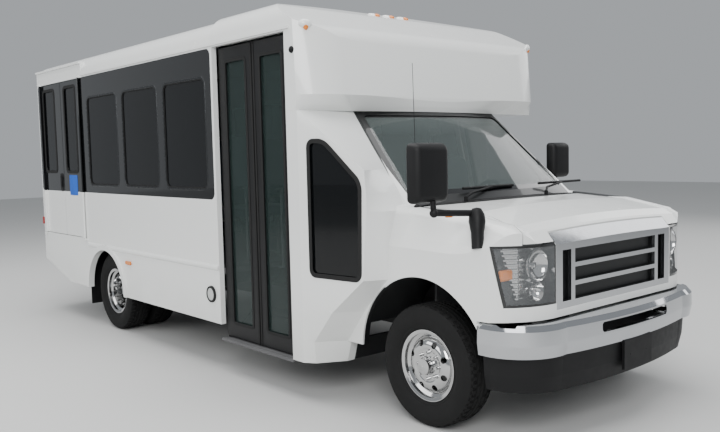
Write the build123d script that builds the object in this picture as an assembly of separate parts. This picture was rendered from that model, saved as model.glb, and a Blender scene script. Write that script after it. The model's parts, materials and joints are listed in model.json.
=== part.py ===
from build123d import *
from math import atan2, cos, degrees, pi, sin
import os

# Low-floor-entry shuttle minibus on a cutaway van chassis, in millimetres.
# Stations along X are measured from the front axle, forward positive, Y is to the left, Z is up from
# the ground. When a piece is written it is moved so that the origin lies mid-length on the ground.

# ---------------------------------------------------------------- driving sizes
length = 6577                 # front bumper to rear bumper
wheelbase = 4013
half_width = 1219             # side wall plane of the coach body
cab_half_width = 1005         # side of the cab and fenders
front_overhang = 835          # front axle to bumper face
rear_overlap = 110            # rear bumper behind the coach's rear face
tail = front_overhang - length + rear_overlap
wall = 40                     # coach wall, roof and rear wall
glass = 8                     # window panes
seat_gap = 0.3                # between a fitted piece and its seat
door_gap = 6                  # round each moving panel

# coach body heights
skirt_z = 375
floor_z = 800
floor_thickness = 45
gutter_z = 2480               # top of the side walls
crown_z = 2720                # roof at the centre line
shoulder_y = 1060             # where the roof corner meets the crown
shoulder_z = 2655
tail_skirt_x = tail + 707     # the skirt rises behind this station
tail_skirt_z = 569

# wheels
tyre_radius = 370
tyre_width = 225
rim_radius = 216
bead_radius = 204
barrel_thickness = 9
front_wheel_y = 866
dual_outer_y = 1038
dual_inner_y = 773
kingpin_y = 760
kingpin_radius = 15

# side windows
window_low, window_high = 1385, 2250
window_width = 695
window_pitch = 792
first_window = -2020          # front edge of the foremost right window
window_corner = 70
rear_window_width = 1120
window_margin = 60            # least wall behind the last window

# entrance doorway, right side, between the coach wall and the cab flare
entry_rear, entry_front = -1907, -990
entry_low, entry_high = 275, 2448
entry_leaf = 35
entry_recess = 50
entry_stile = 90
entry_glass_low, entry_glass_high = 400, 2330
entry_split_gap = 8
well_inner_y = -560
well_steps = 3

# wheelchair lift doorway, right side at the back
lift_rear = tail + 84
lift_front = lift_rear + 1096
lift_low, lift_high = 868, 2437
lift_split = lift_rear + 582
lift_leaf = 35
lift_header_z = 2600
lift_panel_front = lift_front + 44
lift_rear_window = (lift_rear + 76, lift_rear + 398, 1520, 2380)
lift_front_window = (lift_front - 426, lift_front - 124, 1520, 2380)
small_rear_window = (tail + 132, tail + 431)
small_front_window = (-1885, -1560)
window_gap = window_pitch - window_width
right_windows = int((first_window - lift_panel_front - window_margin + window_gap) // window_pitch)
left_windows = int((first_window - small_rear_window[1] - window_margin + window_gap) // window_pitch)
hinge_proud = 14
hinge_radius = 9
pin_radius = 5

# rear wheel arch
rear_arch_radius = 405
flare_width = 48
flare_proud = 16
rail_low, rail_high, rail_proud = 782, 826, 14

# cab and front end
arch_radius = 508
arch_z = 400
arch_x = -5
belt_z = 1290
crease_z = 1140
belt_half = 965
header_z = 1930               # top of the windshield frame, where the cap sits
cab_rear = -1345
cab_front = -300              # shut line between the fenders and the doors
rocker_z = 420
cab_floor_z = 620
front_shell = 28
hood_hinge_x = -150
nose_x = 690
hood_lip_x = 622
hood_gap = 7
cowl_half = 830
grille_half = 620
grille_low, grille_high = 752, 1118
lamp_low, lamp_high = 790, 1128
lamp_outer = 985
lamp_rear_high, lamp_rear_low = 512, 566
lamp_depth = 110
bumper_low, bumper_high = 520, 700
bumper_half, bumper_end = 992, 430

shoulder_bulge = 12
crease_step = 14
front_sections = (            # station, crown height, shoulder (y, z), hood edge (y, z), crease height
    (cab_front, 1345, (963, 1280), (860, 1316), crease_z),
    (250, 1312, (950, 1234), (815, 1282), crease_z - 12),
    (560, 1250, (932, 1176), (790, 1225), crease_z - 34),
    (hood_lip_x, 1214, (920, 1150), (780, 1192), crease_z - 46),
    (nose_x + 10, 1112, (905, 1082), (770, 1098), crease_z - 80),
)

# fibreglass cap over the cab
cap_rear = -1930
cap_face = -735
cap_low = header_z
cap_brow_z = 2030
cap_crease_z = 2450
cap_proud = 22
cap_thickness = 28
cap_side_front = -870
cap_corner = 330
cap_lean = 0.095              # how far the face leans back per height

# flare between the entrance and the cab, right side
flare_wall = 30
flare_low = 275
transition_foot_x = -700
flare_sections = (            # height, outer corner (x, y), where it meets the cab (x, y)
    (flare_low, (-800, -1170), (transition_foot_x, -985)),
    (rocker_z, (-790, -1188), (-655, -985)),
    (640, (-600, -1186), (-480, -985)),
    (868, (-330, -1154), (-262, -985)),
    (belt_z, (-290, -1150), (-228, -925)),
    (1400, (-290, -1150), (-327, -834)),
    (1540, (-300, -1151), (-470, -804)),
    (cap_low - seat_gap, (-864, -half_width + 4), (-873, -730)),
)

# driver's door
door_front, door_rear = -306, -1290
door_low, door_high = 480, 1905
door_thickness = 55
pillar_thickness = 25
pillar_gap = 14

# frame
rail_y = 430
rail_width = 70
rail_z0, rail_z1 = 430, 590
rear_axle = -wheelbase
engine_rear = -620
tube_radius = 55

frame_shift = length / 2 - front_overhang


# ---------------------------------------------------------------- shared forms
def block(x0, x1, y0, y1, z0, z1):
    """Box between two corners."""
    centre = ((x0 + x1) / 2, (y0 + y1) / 2, (z0 + z1) / 2)
    return Pos(*centre) * Box(abs(x1 - x0), abs(y1 - y0), abs(z1 - z0))


def across(outline, y0, y1):
    """Extrude an outline drawn in X and Z between two Y planes."""
    plane = Plane(origin=(0, max(y0, y1), 0), x_dir=(1, 0, 0), z_dir=(0, -1, 0))
    return extrude(plane * outline, amount=abs(y1 - y0), dir=(0, -1, 0))


def along(outline, x0, x1):
    """Extrude an outline drawn in Y and Z between two X planes."""
    plane = Plane(origin=(min(x0, x1), 0, 0), x_dir=(0, 1, 0), z_dir=(1, 0, 0))
    return extrude(plane * outline, amount=abs(x1 - x0), dir=(1, 0, 0))


def upward(outline, z0, z1):
    """Extrude an outline drawn in X and Y between two heights."""
    return extrude(Pos(0, 0, z0) * outline, amount=z1 - z0, dir=(0, 0, 1))


def shape(*points):
    return Polygon(*points, align=None)


def rounded(u0, u1, v0, v1, radius):
    """Rectangle with round corners between two corners."""
    return Pos((u0 + u1) / 2, (v0 + v1) / 2) * RectangleRounded(abs(u1 - u0), abs(v1 - v0), radius)


def drum(x, y0, y1, z, radius):
    """Cylinder along Y."""
    return Pos(x, (y0 + y1) / 2, z) * Rot(90, 0, 0) * Cylinder(radius, abs(y1 - y0))


def post(x, y, z0, z1, radius):
    """Cylinder along Z."""
    return Pos(x, y, (z0 + z1) / 2) * Cylinder(radius, abs(z1 - z0))


def rod(start, end, radius):
    """Cylinder between two points."""
    return Solid.extrude(Plane(origin=start, z_dir=Vector(*end) - Vector(*start)) * Circle(radius).face(),
                         Vector(*end) - Vector(*start))


def lathe_y(outline, x, y, z, side=1):
    """Revolve an outline of (radius, offset) round an axis along Y, offset outward on the given side."""
    plane = Plane(origin=(x, y, z), x_dir=(1, 0, 0), z_dir=(0, 0, side))
    return revolve(plane * outline, Axis((x, y, z), (0, 1, 0)), 360)


def mirrored(piece):
    return mirror(piece, about=Plane.XZ)


def solids_of(pieces):
    return [s for piece in pieces for s in piece.solids()]


def write(name, *pieces):
    solids = [Pos(frame_shift, 0, 0) * s for s in solids_of(pieces)]
    whole = solids[0] if len(solids) == 1 else Compound(children=solids)
    export_step(whole, f"parts/{name}.step")


# ---------------------------------------------------------------- coach body
def roof_face(inset=0, low=gutter_z, raise_by=0):
    """Roof section: upright to the gutter, round corner, shallow crown."""
    w = half_width - inset
    corner = (shoulder_y, shoulder_z - inset + raise_by)
    crown = (0, crown_z - inset + raise_by)
    left = (-corner[0], corner[1])
    spring = gutter_z + raise_by
    base = Line((-w, low), (w, low))
    arcs = [TangentArc((w, spring), corner, tangent=(0, 1)), ThreePointArc(corner, crown, left),
            TangentArc((-w, spring), left, tangent=(0, 1))]
    uprights = [Line((w, low), (w, spring)), Line((-w, spring), (-w, low))] if low < spring else []
    return make_face(Curve() + [base] + uprights + arcs)


def window_spans(count):
    """Rear and front edge of each side window, from the front one back."""
    return [(first_window - i * window_pitch - window_width, first_window - i * window_pitch)
            for i in range(count)]


def window_faces(spans, grow=0.0):
    return [rounded(r - grow, f + grow, window_low - grow, window_high + grow, window_corner)
            for r, f in spans]


def skirt_outline(front):
    """Side wall outline with the skirt that rises to the tail."""
    return shape((front, skirt_z), (front, gutter_z), (tail, gutter_z), (tail, tail_skirt_z),
                 (tail_skirt_x, skirt_z))


def rear_arch(radius, y0, y1):
    return drum(rear_axle, y0, y1, tyre_radius, radius)


left_spans = window_spans(left_windows) + [small_front_window, small_rear_window]


def right_wall():
    outline = skirt_outline(entry_rear) - shape((tail - 1, 0), (lift_panel_front, 0),
                                                (lift_panel_front, 3000), (tail - 1, 3000))
    outline = outline + shape((entry_rear - 1, entry_high), (entry_front, entry_high),
                              (entry_front, gutter_z), (entry_rear - 1, gutter_z))
    for face in window_faces(window_spans(right_windows)):
        outline = outline - face
    panel = across(outline, -half_width, -half_width + wall)
    return panel - rear_arch(rear_arch_radius, -half_width - 1, -half_width + wall + 1)


def lift_surround():
    outline = skirt_outline(lift_panel_front - seat_gap)
    outline = outline - rounded(lift_rear - door_gap, lift_front + door_gap, lift_low - door_gap,
                                lift_high + door_gap, 12)
    panel = across(outline, -half_width, -half_width + wall)
    panel = panel - rear_arch(rear_arch_radius, -half_width - 1, -half_width + wall + 1)
    header = block(tail, lift_panel_front, -half_width, -half_width + wall, gutter_z, lift_header_z)
    shelf = block(tail, lift_panel_front, -half_width, -half_width + 70, lift_header_z - 12, lift_header_z)
    upper = (header + shelf) - along(roof_face(-seat_gap), tail - 1, lift_panel_front + 1)
    return panel + upper


def lift_hinge_brackets():
    """Small eyes above and below each lift leaf, that hold its hinge pins."""
    eyes = []
    for x in (lift_rear, lift_front):
        for z0, z1 in ((lift_low - 26, lift_low - 8), (lift_high + 8, lift_high + 26)):
            body = block(x - 14, x + 14, -half_width - hinge_proud - 12, -half_width, z0, z1)
            eyes.append(body - post(x, -half_width - hinge_proud, z0 - 1, z1 + 1, pin_radius + seat_gap))
    return eyes


def lift_leaf_panel(hinge_x, free_x, window):
    """One lift door leaf with its window cut and its hinge barrel."""
    towards = 1 if free_x > hinge_x else -1
    edge, end = sorted((hinge_x + towards * 2, free_x))
    y0, y1 = -half_width, -half_width + lift_leaf
    panel = across(rounded(edge, end, lift_low, lift_high, 10), y0, y1)
    panel = panel - across(rounded(*window, 45), y0 - 1, y1 + 1)
    axis_y = -half_width - hinge_proud
    barrel = post(hinge_x, axis_y, lift_low, lift_high, hinge_radius)
    strap = block(hinge_x, hinge_x + towards * 44, axis_y - hinge_radius, axis_y - hinge_radius + 6,
                  lift_low, lift_high)
    web = block(hinge_x + towards * 14, hinge_x + towards * 44, axis_y - hinge_radius, y0 + 2,
                lift_low, lift_high)
    pin = post(hinge_x, axis_y, lift_low - 24, lift_high + 24, pin_radius)
    return panel + barrel + strap + web + pin



def pane(window, y_outer, corner, grow=-seat_gap, depth=glass, recess=10):
    """Window pane seated in a side cut, a little inside the outer face."""
    u0, u1, v0, v1 = window
    inward = 1 if y_outer < 0 else -1
    face = rounded(u0 - grow, u1 + grow, v0 - grow, v1 + grow, corner)
    return across(face, y_outer + inward * recess, y_outer + inward * (recess + depth))


def left_wall():
    outline = skirt_outline(cab_rear)
    for rear, front in left_spans:
        outline = outline - rounded(rear, front, window_low, window_high, window_corner)
    panel = across(outline, half_width - wall, half_width)
    panel = panel - rear_arch(rear_arch_radius, half_width - wall - 1, half_width + 1)
    flare = block(cab_rear - wall, cab_rear, cab_half_width - 60, half_width - wall, skirt_z, gutter_z)
    return panel + flare


def rear_wall():
    face = roof_face(wall + seat_gap, low=tail_skirt_z)
    face = face - rear_window_face(0)
    return along(face, tail, tail + wall)


def rear_window_face(grow):
    half = rear_window_width / 2 + grow
    return rounded(-half, half, window_low + 95 - grow, window_high + 70 + grow, 80)


def roof():
    """Roof shell from the rear wall's outer face to the cap."""
    return (along(roof_face(), tail, cap_rear - seat_gap)
            - along(roof_face(wall, low=gutter_z - 1), tail - 1, cap_rear + 1))


def body_floor():
    """Floor with the doorway well, the wheel boxes and the rise to the cab cut out."""
    inner = half_width - wall - seat_gap
    slab = block(tail + wall, cab_rear, -inner, inner, floor_z - floor_thickness, floor_z)
    slab = slab - block(entry_rear, cab_rear + 1, -inner - 1, well_inner_y, 0, 3000)
    riser = block(cab_rear - 20, cab_rear, well_inner_y + 20, cab_half_width - 61, cab_floor_z, floor_z)
    slab = slab + riser
    slab = slab - block(cab_rear - wall - seat_gap, 0, cab_half_width - 60 - seat_gap, half_width, 0, 3000)
    for side in (-1, 1):
        slab = slab - block(rear_axle - 420, rear_axle + 420, side * 600, side * 1300, 0, 3000)
    return slab


def wheel_boxes():
    """Boxes over the twin rear wheels, standing on the floor."""
    boxes = []
    inner = half_width - wall - seat_gap
    for side in (-1, 1):
        outside = block(rear_axle - 420, rear_axle + 420, side * 600, side * inner,
                        floor_z - floor_thickness, floor_z + 70)
        inside = block(rear_axle - 410, rear_axle + 410, side * 610, side * (inner + 1),
                       floor_z - floor_thickness - 1, floor_z + 60)
        boxes.append(outside - inside)
    return boxes


def entry_steps():
    """Treads and risers as one folded sheet, with a side plate at each end."""
    rise = (floor_z - entry_low) / (well_steps)
    run = (well_inner_y + half_width - 90) / well_steps
    sheet = 20
    x0, x1 = entry_rear + 2, entry_front - 2
    pieces = None
    for i in range(well_steps):
        y0 = -half_width + (0 if i == 0 else 90 + i * run)
        y1 = -half_width + 90 + (i + 1) * run
        z = entry_low + i * rise
        tread = block(x0, x1, y0, y1, z - sheet, z)
        riser = block(x0, x1, y1 - sheet, y1, z - sheet, z + rise)
        step = tread + riser
        pieces = step if pieces is None else pieces + step
    top = floor_z - floor_thickness - seat_gap
    pieces = pieces - block(x0 - 1, x1 + 1, well_inner_y - sheet - 1, well_inner_y + 1, top + 400, 3000)
    profile = shape((-half_width, entry_low), (-half_width + 90, entry_low), (well_inner_y, floor_z),
                    (well_inner_y, floor_z - 220), (-half_width + 200, entry_low - sheet),
                    (-half_width, entry_low - sheet))
    return pieces + along(profile, x0, x0 + 8) + along(profile, x1 - 8, x1)


# ---------------------------------------------------------------- entrance doors
def entrance_leaf(hinge_x, towards):
    """One glazed leaf that swings out about the edge next to its jamb."""
    span = abs(entry_front - entry_rear) / 2 - hinge_radius - door_gap - entry_split_gap / 2
    axis_y = -half_width + entry_recess
    x_free = hinge_x + towards * span
    x0, x1 = sorted((hinge_x, x_free))
    low, high = entry_low + 12, entry_high - 12
    frame = across(shape((x0, low), (x1, low), (x1, high), (x0, high)), axis_y, axis_y + entry_leaf)
    g0, g1 = sorted((hinge_x + towards * entry_stile, x_free - towards * entry_stile))
    window = (g0, g1, entry_glass_low, entry_glass_high)
    frame = frame - across(rounded(*window, 25), axis_y - 1, axis_y + entry_leaf + 1)
    tube = post(hinge_x, axis_y + hinge_radius, entry_low + seat_gap, entry_high - seat_gap, hinge_radius)
    return frame + tube, across(rounded(g0 + seat_gap, g1 - seat_gap, entry_glass_low + seat_gap,
                                        entry_glass_high - seat_gap, 25), axis_y + 12, axis_y + 12 + glass)


entry_rear_hinge = entry_rear + hinge_radius + door_gap
entry_front_hinge = entry_front - hinge_radius - door_gap


# ---------------------------------------------------------------- cap and cab
def cap_plan(z, side_x, middle, front, bow):
    """Plan of the cap at one height: straight sides, round corners and a bowed face."""
    half = [Line((cap_rear, 0), (cap_rear, middle[2])), Line((cap_rear, middle[2]), (side_x, middle[2])),
            ThreePointArc((side_x, middle[2]), middle[:2], front)]
    other = [edge.mirror(Plane.XZ) for edge in half]
    face = ThreePointArc(front, (bow, 0), (front[0], -front[1]))
    return Pos(0, 0, z) * make_face(Curve() + half + other + [face])


def cap_solid(inset):
    """Cap as the common part of its side, plan and cross outlines, with a cove under the brow."""
    face, low, top = cap_face - inset, cap_low + inset, crown_z + cap_proud - inset
    w = half_width - inset
    lean = (top - cap_brow_z) * cap_lean
    nose = face + 2 - (cap_crease_z - cap_brow_z) * cap_lean
    side = shape((cap_rear, low), (cap_rear, top), (-1480, top), (-1170, top - 88),
                 (nose, cap_crease_z - inset),
                 (face + 4, cap_brow_z - inset), (face + 4, low))
    for x, radius in ((-1480, 260), (-1170, 260), (nose, 130)):
        side = fillet([v for v in side.vertices() if abs(v.X - x) < 0.1 and v.Y > cap_brow_z], radius)
    brow = cap_plan(cap_brow_z + inset, cap_side_front, (face - 25, w - 160, w), (face, w - cap_corner),
                    face + 12)
    cove = cap_plan(low + 34, cap_side_front - 8, (face - 118, w - 75, w), (face - 72, w - 420), face - 8)
    hem = cap_plan(low, cap_side_front - 12, (face - 134, w - 170, w), (face - 108, w - 470), face - 22)
    crest = cap_plan(top + 1, cap_side_front - lean / 2, (face - lean - 25, w - 160, w),
                     (face - lean, w - cap_corner),
                     face - lean + 12)
    whole = loft([hem, cove, brow, crest], ruled=True)
    section = roof_face(inset, low=low, raise_by=cap_proud)
    return (whole & across(side, -w - 1, w + 1)) & along(section, cap_rear, 0)


def roof_cap():
    """Hollow cap, open to the coach behind and to the cab below."""
    shell = cap_solid(0) - cap_solid(cap_thickness)
    shell = shell - block(cap_rear - 1, entry_front, -half_width - 1, 0, 0, gutter_z)
    shell = shell - block(cap_rear - 1, cab_rear, 0, half_width + 1, 0, gutter_z)
    shell = shell - block(cap_rear - 1, -930, -760, 760, 0, cap_low + 100)
    return shell - along(roof_face(wall, low=gutter_z - 1), cap_rear - 1, cap_rear + 2)


def greenhouse(inset=0, low=belt_z, high=header_z):
    """Upper cab between the belt and the header: bowed front, sides that lean in."""
    def ring(z):
        t = (z - belt_z) / (header_z - belt_z)
        front_x, centre_x = -205 + t * (-868 + 205) - inset, -52 + t * (-760 + 52) - inset
        front_y, side_x = 868 + t * (716 - 868) - inset, -440 - t * 500
        side_y = belt_half + t * (800 - belt_half) - inset
        arc = ThreePointArc((front_x, front_y), (centre_x, 0), (front_x, -front_y))
        sides = [Line((front_x, front_y), (side_x, side_y)), Line((side_x, side_y), (cab_rear, side_y)),
                 Line((cab_rear, side_y), (cab_rear, -side_y)), Line((cab_rear, -side_y), (side_x, -side_y)),
                 Line((side_x, -side_y), (front_x, -front_y))]
        return Pos(0, 0, z) * make_face(Curve() + [arc] + sides)
    return loft([ring(low), ring(high)], ruled=True)


def lower_cab(inset):
    """Cab below the belt: upright sides, then a lean-in above the crease."""
    w = cab_half_width - inset
    points = [(w, rocker_z - 1), (w, crease_z), (belt_half - inset, belt_z)]
    return along(shape(*points, *[(-y, z) for y, z in reversed(points)]), cab_rear, cab_front)


def windshield_cut(grow):
    """Cross outline of the windshield opening."""
    g = grow
    outline = shape((-812 + g, 1372 + g), (812 - g, 1372 + g), (694 - g, 1902 - g), (-694 + g, 1902 - g))
    return along(fillet(outline.vertices(), 50), -1000, 100)


def driver_door_outline(grow=0):
    """Side outline of the driver's door: it follows the wheel arch and the windshield pillar."""
    g = grow
    pillar_low, pillar_high = (-330 + g, belt_z + 20), (-880 + g * 0.6, door_high + g)
    outline = shape((door_rear - g, door_low - g), (-300 + g, door_low - g), (door_front + g, door_low - g),
                    (door_front + g, belt_z + 10), pillar_low, pillar_high, (door_rear - g, door_high + g))
    return outline - Pos(arch_x, arch_z) * Circle(arch_radius + 36 - g)


def driver_door_window(grow=0):
    g = grow
    outline = shape((door_rear + 75 - g, 1330 - g), (-500 + g, 1330 - g), (-905 + g, 1840 + g),
                    (door_rear + 75 - g, 1840 + g))
    return fillet(outline.vertices(), 40)


def cab_shells():
    outer = lower_cab(0) + greenhouse()
    inner = lower_cab(door_thickness) + greenhouse(pillar_thickness, belt_z - 1, header_z + 1)
    return outer, inner


def cab_shell_and_door():
    outer, inner = cab_shells()
    shell = outer - inner
    left = across(driver_door_outline(), 500, 1200)
    hole = across(driver_door_outline(door_gap), 500, 1200)
    hole = hole + block(door_rear - pillar_gap, door_rear, 500, 1200, door_low - door_gap,
                        door_high + door_gap)
    door = shell & left
    door = door - across(driver_door_window(), 500, 1200)
    cab = shell - hole
    aperture = shape((cab_rear - 1, rocker_z - 2), (transition_foot_x, rocker_z - 2), (-668, rocker_z + 20),
                     (-500, 640),
                     (-318, 860), (door_front - door_gap, belt_z + 10), (cab_rear - 1, belt_z + 10))
    cab = cab - across(aperture, -half_width, 0)
    cab = cab - across(shape((-560, belt_z), (-560, 1400), (-960, 1840), (cab_rear - 1, 1840),
                             (cab_rear - 1, belt_z)),
                       -1300, -500)
    cab = cab - block(cab_rear - 1, cab_rear + 100, -940, 700, rocker_z - 2, 1900)
    cab = cab - windshield_cut(0)
    for side in (-1, 1):
        cab = cab + block(cab_front + 1, cab_front + 60, side * 870, side * 899, 760, belt_z + 2)
    cab = cab - drum(arch_x, -1300, 1300, arch_z, arch_radius + 7 + seat_gap)
    return cab, door


def windshield():
    outer = greenhouse(8) - greenhouse(8 + glass, belt_z - 1, header_z + 1)
    return outer & windshield_cut(seat_gap)


def cab_panels():
    """Firewall, toe board, floor, engine cover and hinge pillars inside the cab."""
    firewall = block(-345, -325, -900, 900, 800, belt_z - 40)
    firewall = firewall + block(-345, -325, -515, 515, cab_floor_z - 30, 800)
    firewall = firewall - block(-400, -300, -240, 240, 0, 965)
    floor_plan = shape((-345, 515), (-468, 515), (-468, 945), (cab_rear, 945), (cab_rear, well_inner_y + 25),
                       (entry_front + 8, well_inner_y + 25), (entry_front + 8, 91 - half_width),
                       (-700, 141 - half_width), (-468, -900), (-468, -515), (-345, -515))
    floor = upward(floor_plan, cab_floor_z - 30, cab_floor_z)
    floor = floor - mirrored(block(-560, -500, 944, 970, cab_floor_z - 40, cab_floor_z + 10))
    cover = block(-900, -345, -270, 270, cab_floor_z - 30, 985) - block(-880, -300, -250, 250, 0, 965)
    panels = firewall + (floor - block(-880, -300, -250, 250, 0, 965)) + cover
    for side in (-1, 1):
        panels = panels - drum(arch_x, side * 519, side * 1100, arch_z, arch_radius + 7 + seat_gap)
    return panels


def front_section(x, crown, shoulder, top, crease, inset):
    """Cross outline: upright side, crease, round shoulder and crowned hood."""
    w = cab_half_width - inset
    y1, z1 = shoulder[0] - inset, shoulder[1] - inset * 0.6
    y2, z2 = top[0] - inset * 0.6, top[1] - inset
    bulge = ((y1 + y2) / 2 + shoulder_bulge, (z1 + z2) / 2 + shoulder_bulge * 2)
    points = [(w, rocker_z), (w, crease - 60), (w - crease_step, crease), (y1, z1)]
    half = [Line(a, b) for a, b in zip(points, points[1:])] + [ThreePointArc((y1, z1), bulge, (y2, z2))]
    other = [edge.mirror(Plane.YZ) for edge in half]
    closed = [Line((-w, rocker_z), (w, rocker_z)), ThreePointArc((y2, z2), (0, crown - inset), (-y2, z2))]
    plane = Plane(origin=(x, 0, 0), x_dir=(0, 1, 0), z_dir=(1, 0, 0))
    return plane * make_face(Curve() + half + other + closed)


def front_solid(inset):
    """Hood, fenders and nose: cross sections lofted from the cab forward, cut to the plan."""
    w = cab_half_width - inset
    n = nose_x - inset
    body = loft([front_section(x, crown, shoulder, top, crease, inset)
                 for x, crown, shoulder, top, crease in front_sections], ruled=True)
    plan = Curve() + [Line((cab_front, -w), (cab_front, w)), Line((cab_front, w), (250, w)),
                      Line((cab_front, -w), (250, -w)),
                      ThreePointArc((250, w), (400, w - 8), (505, lamp_outer - inset)),
                      ThreePointArc((250, -w), (400, -w + 8), (505, -lamp_outer + inset)),
                      ThreePointArc((505, lamp_outer - inset), (628 - inset * 0.5, 850 - inset),
                                    (n, grille_half)),
                      ThreePointArc((505, -lamp_outer + inset), (628 - inset * 0.5, -850 + inset),
                                    (n, -grille_half)),
                      Line((n, grille_half), (n, -grille_half))]
    return body & upward(make_face(plan), rocker_z, 1400)


def hood_plan(grow):
    """Plan of the hood: bowed rear edge, sides that spread to the lamps, and the lip over the grille."""
    g = grow
    lip, rear, corner = hood_lip_x + g + 10, hood_hinge_x + 8 - g, nose_x + 30
    side = [(rear, 812 + g), (110, 782 + g), (370, 768 + g), (520, 812 + g), (corner, 862 + g),
            (corner, grille_half + 6 - g), (lip, grille_half + 6 - g)]
    other = [(x, -y) for x, y in side]
    lines = [Line(a, b) for edge in (side, other) for a, b in zip(edge, edge[1:])]
    curve = Curve() + lines + [Line(side[-1], other[-1]), ThreePointArc(side[0], (20 - 2 * g, 0), other[0])]
    return upward(make_face(curve), 1100, 1500)


def front_pieces():
    outer, inner = front_solid(0), front_solid(front_shell)
    shell = outer - inner
    shell = shell - block(-331, 330, -1100, 1100, rocker_z - 1, 600 - 80)
    shell = shell - greenhouse(-seat_gap, belt_z - seat_gap, header_z)
    hood = shell & (hood_plan(0) & block(-400, nose_x + 40, -900, 900, lamp_high + hood_gap, 1500))
    rest = shell - (hood_plan(hood_gap) & block(-400, nose_x + 40, -900, 900, lamp_high, 1500))
    cowl = rest & block(-400, 60, -cowl_half, cowl_half, 1200, 1500)
    rest = rest - block(-400, 60, -cowl_half, cowl_half, 1200, 1500)
    for side in (-1, 1):
        cowl = cowl - block(-175, 60, side * 715, side * 900, 1292, 1400)
    crest_box = block(hood_lip_x - 20, 800, -grille_half, grille_half, grille_high, 1500)
    crest = rest & crest_box
    rest = rest - crest_box - block(400, 800, -grille_half, grille_half, grille_low, grille_high)
    sill = block(lamp_rear_low, 800, -1100, 1100, bumper_high + 10, lamp_low)
    nose = rest & sill
    fenders = rest - block(lamp_rear_low - seat_gap, 800, -1100, 1100, rocker_z, lamp_low + seat_gap)
    fenders = fenders - block(430, 800, -grille_half - 4, grille_half + 4, rocker_z, 1500)
    fenders = fenders - lamp_outline(0) - drum(arch_x, -1300, 1300, arch_z, arch_radius)
    fenders = fenders & block(-331, 800, -1100, 1100, bumper_high + 10, 1500) + (
        fenders & block(-331, 430, -1100, 1100, rocker_z, bumper_high + 11))
    liner = drum(arch_x, 520, cab_half_width - front_shell, arch_z, arch_radius + 7)
    liner = liner - drum(arch_x, 519, 1100, arch_z, arch_radius)
    liner = liner - block(-700, 700, 500, 1100, -200, 560) - block(420, 700, 930, 1100, 0, 1000)
    apron = block(-324, 425, 514, 520, 800, 1150) - drum(arch_x, 0, 1100, arch_z, arch_radius)
    left = (fenders & block(-400, 800, 300, 1100, 0, 2000)) + liner + apron
    right = (fenders & block(-400, 800, -300, -1100, 0, 2000)) + mirrored(liner) + mirrored(apron)
    slam = block(480, 520, -700, 700, 1090, 1120)
    stops = post(500, 480, 1110, 1300, 14) + post(500, -480, 1110, 1300, 14)
    nose = nose + slam + (stops & front_solid(front_shell + seat_gap))
    for side in (-1, 1):
        foot = block(480, 700, side * 660, side * 700, bumper_high + 10,
                     bumper_high + 24) & front_solid(front_shell - 2)
        nose = nose + block(480, 520, side * 660, side * 700, bumper_high + 10, 1110) + foot
    body = outer - front_solid(lamp_depth)
    lamps = body & lamp_outline(seat_gap)
    lamps = [lamps & block(0, 900, side * grille_half, side * 1100, 0, 2000) for side in (-1, 1)]
    return hood, cowl, nose, left, right, lamps, crest


def lamp_outline(gap):
    """Both headlamp apertures: upright by the grille, raked forward at the outer edge."""
    outline = shape((lamp_rear_high + gap, lamp_high - gap), (lamp_rear_low + gap, lamp_low + gap),
                    (800, lamp_low + gap),
                    (800, lamp_high - gap))
    inner = grille_half + 6 + gap
    return across(outline, inner, 1100) + across(outline, -1100, -inner)


def grille():
    """Chrome surround, side slots and three wide openings split by double bars."""
    g = seat_gap
    x0, x1 = nose_x - 60, nose_x - 2
    plate = block(x0 + 30, x1, -grille_half + g, grille_half - g, grille_low + g, grille_high - g)
    opening_half, bar, rows = 440, 26, 3
    low, high = grille_low + 38, grille_high - 38
    pitch = (high - low + bar) / rows
    for i in range(rows):
        z0 = low + i * pitch
        plate = plate - across(shape((x0, z0), (x1 + 9, z0), (x1 + 9, z0 + pitch - bar),
                                     (x0, z0 + pitch - bar)),
                               -opening_half, opening_half)
    for side in (-1, 1):
        plate = plate - block(x0, x1 + 9, side * 478, side * 560, low, high)
    back = block(x0, x0 + 20, -grille_half + g, grille_half - g, grille_low + g, grille_high - g)
    ribs = back + block(x0 + 18, x0 + 31, -grille_half + g, -grille_half + 30, grille_low + 5,
                        grille_high - 5)
    return plate + ribs + block(x0 + 18, x0 + 31, grille_half - 30, grille_half - g, grille_low + 5,
                                grille_high - 5)


def bumper_plan(z, inset, bow_x, half, end_x):
    """Plan of the bumper or its apron: bowed face, round corners, straight ends."""
    face, w = bow_x - inset, half - inset
    quarter = [ThreePointArc((face - 60, 640), (face - 150, w - 82), (face - 330, w)),
               Line((face - 330, w), (end_x, w))]
    other = [edge.mirror(Plane.XZ) for edge in quarter]
    ends = [Line((end_x, w), (end_x, -w)), ThreePointArc((face - 60, 640), (face, 0), (face - 60, -640))]
    return Pos(0, 0, z) * make_face(Curve() + quarter + other + ends)


def front_bumper():
    """Bowed chrome bumper with rolled edges and a long slot, open at the back, on two frame arms."""
    rolls = ((bumper_low, 10), (bumper_low + 70, 0), (bumper_high - 30, 3), (bumper_high, 22))
    outer = loft([bumper_plan(z, inset, front_overhang, bumper_half, bumper_end) for z, inset in rolls],
                 ruled=True)
    lower = ((bumper_low - 1, 24), (bumper_low + 70, 14), (bumper_high - 32, 17), (bumper_high - 12, 30))
    inner = loft([bumper_plan(z, inset, front_overhang, bumper_half, bumper_end - 30) for z, inset in lower],
                 ruled=True)
    bar = outer - inner - block(bumper_end - 1, 640, -960, 960, bumper_high - 13, bumper_high + 1)
    bar = bar - along(rounded(-360, 360, 602, 660, 20), 700, 900)
    for side in (-1, 1):
        arm = block(641, front_overhang, side * (rail_y - 30), side * (rail_y + 30), 540, rail_z1)
        bar = bar + (arm & outer)
    return bar


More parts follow.
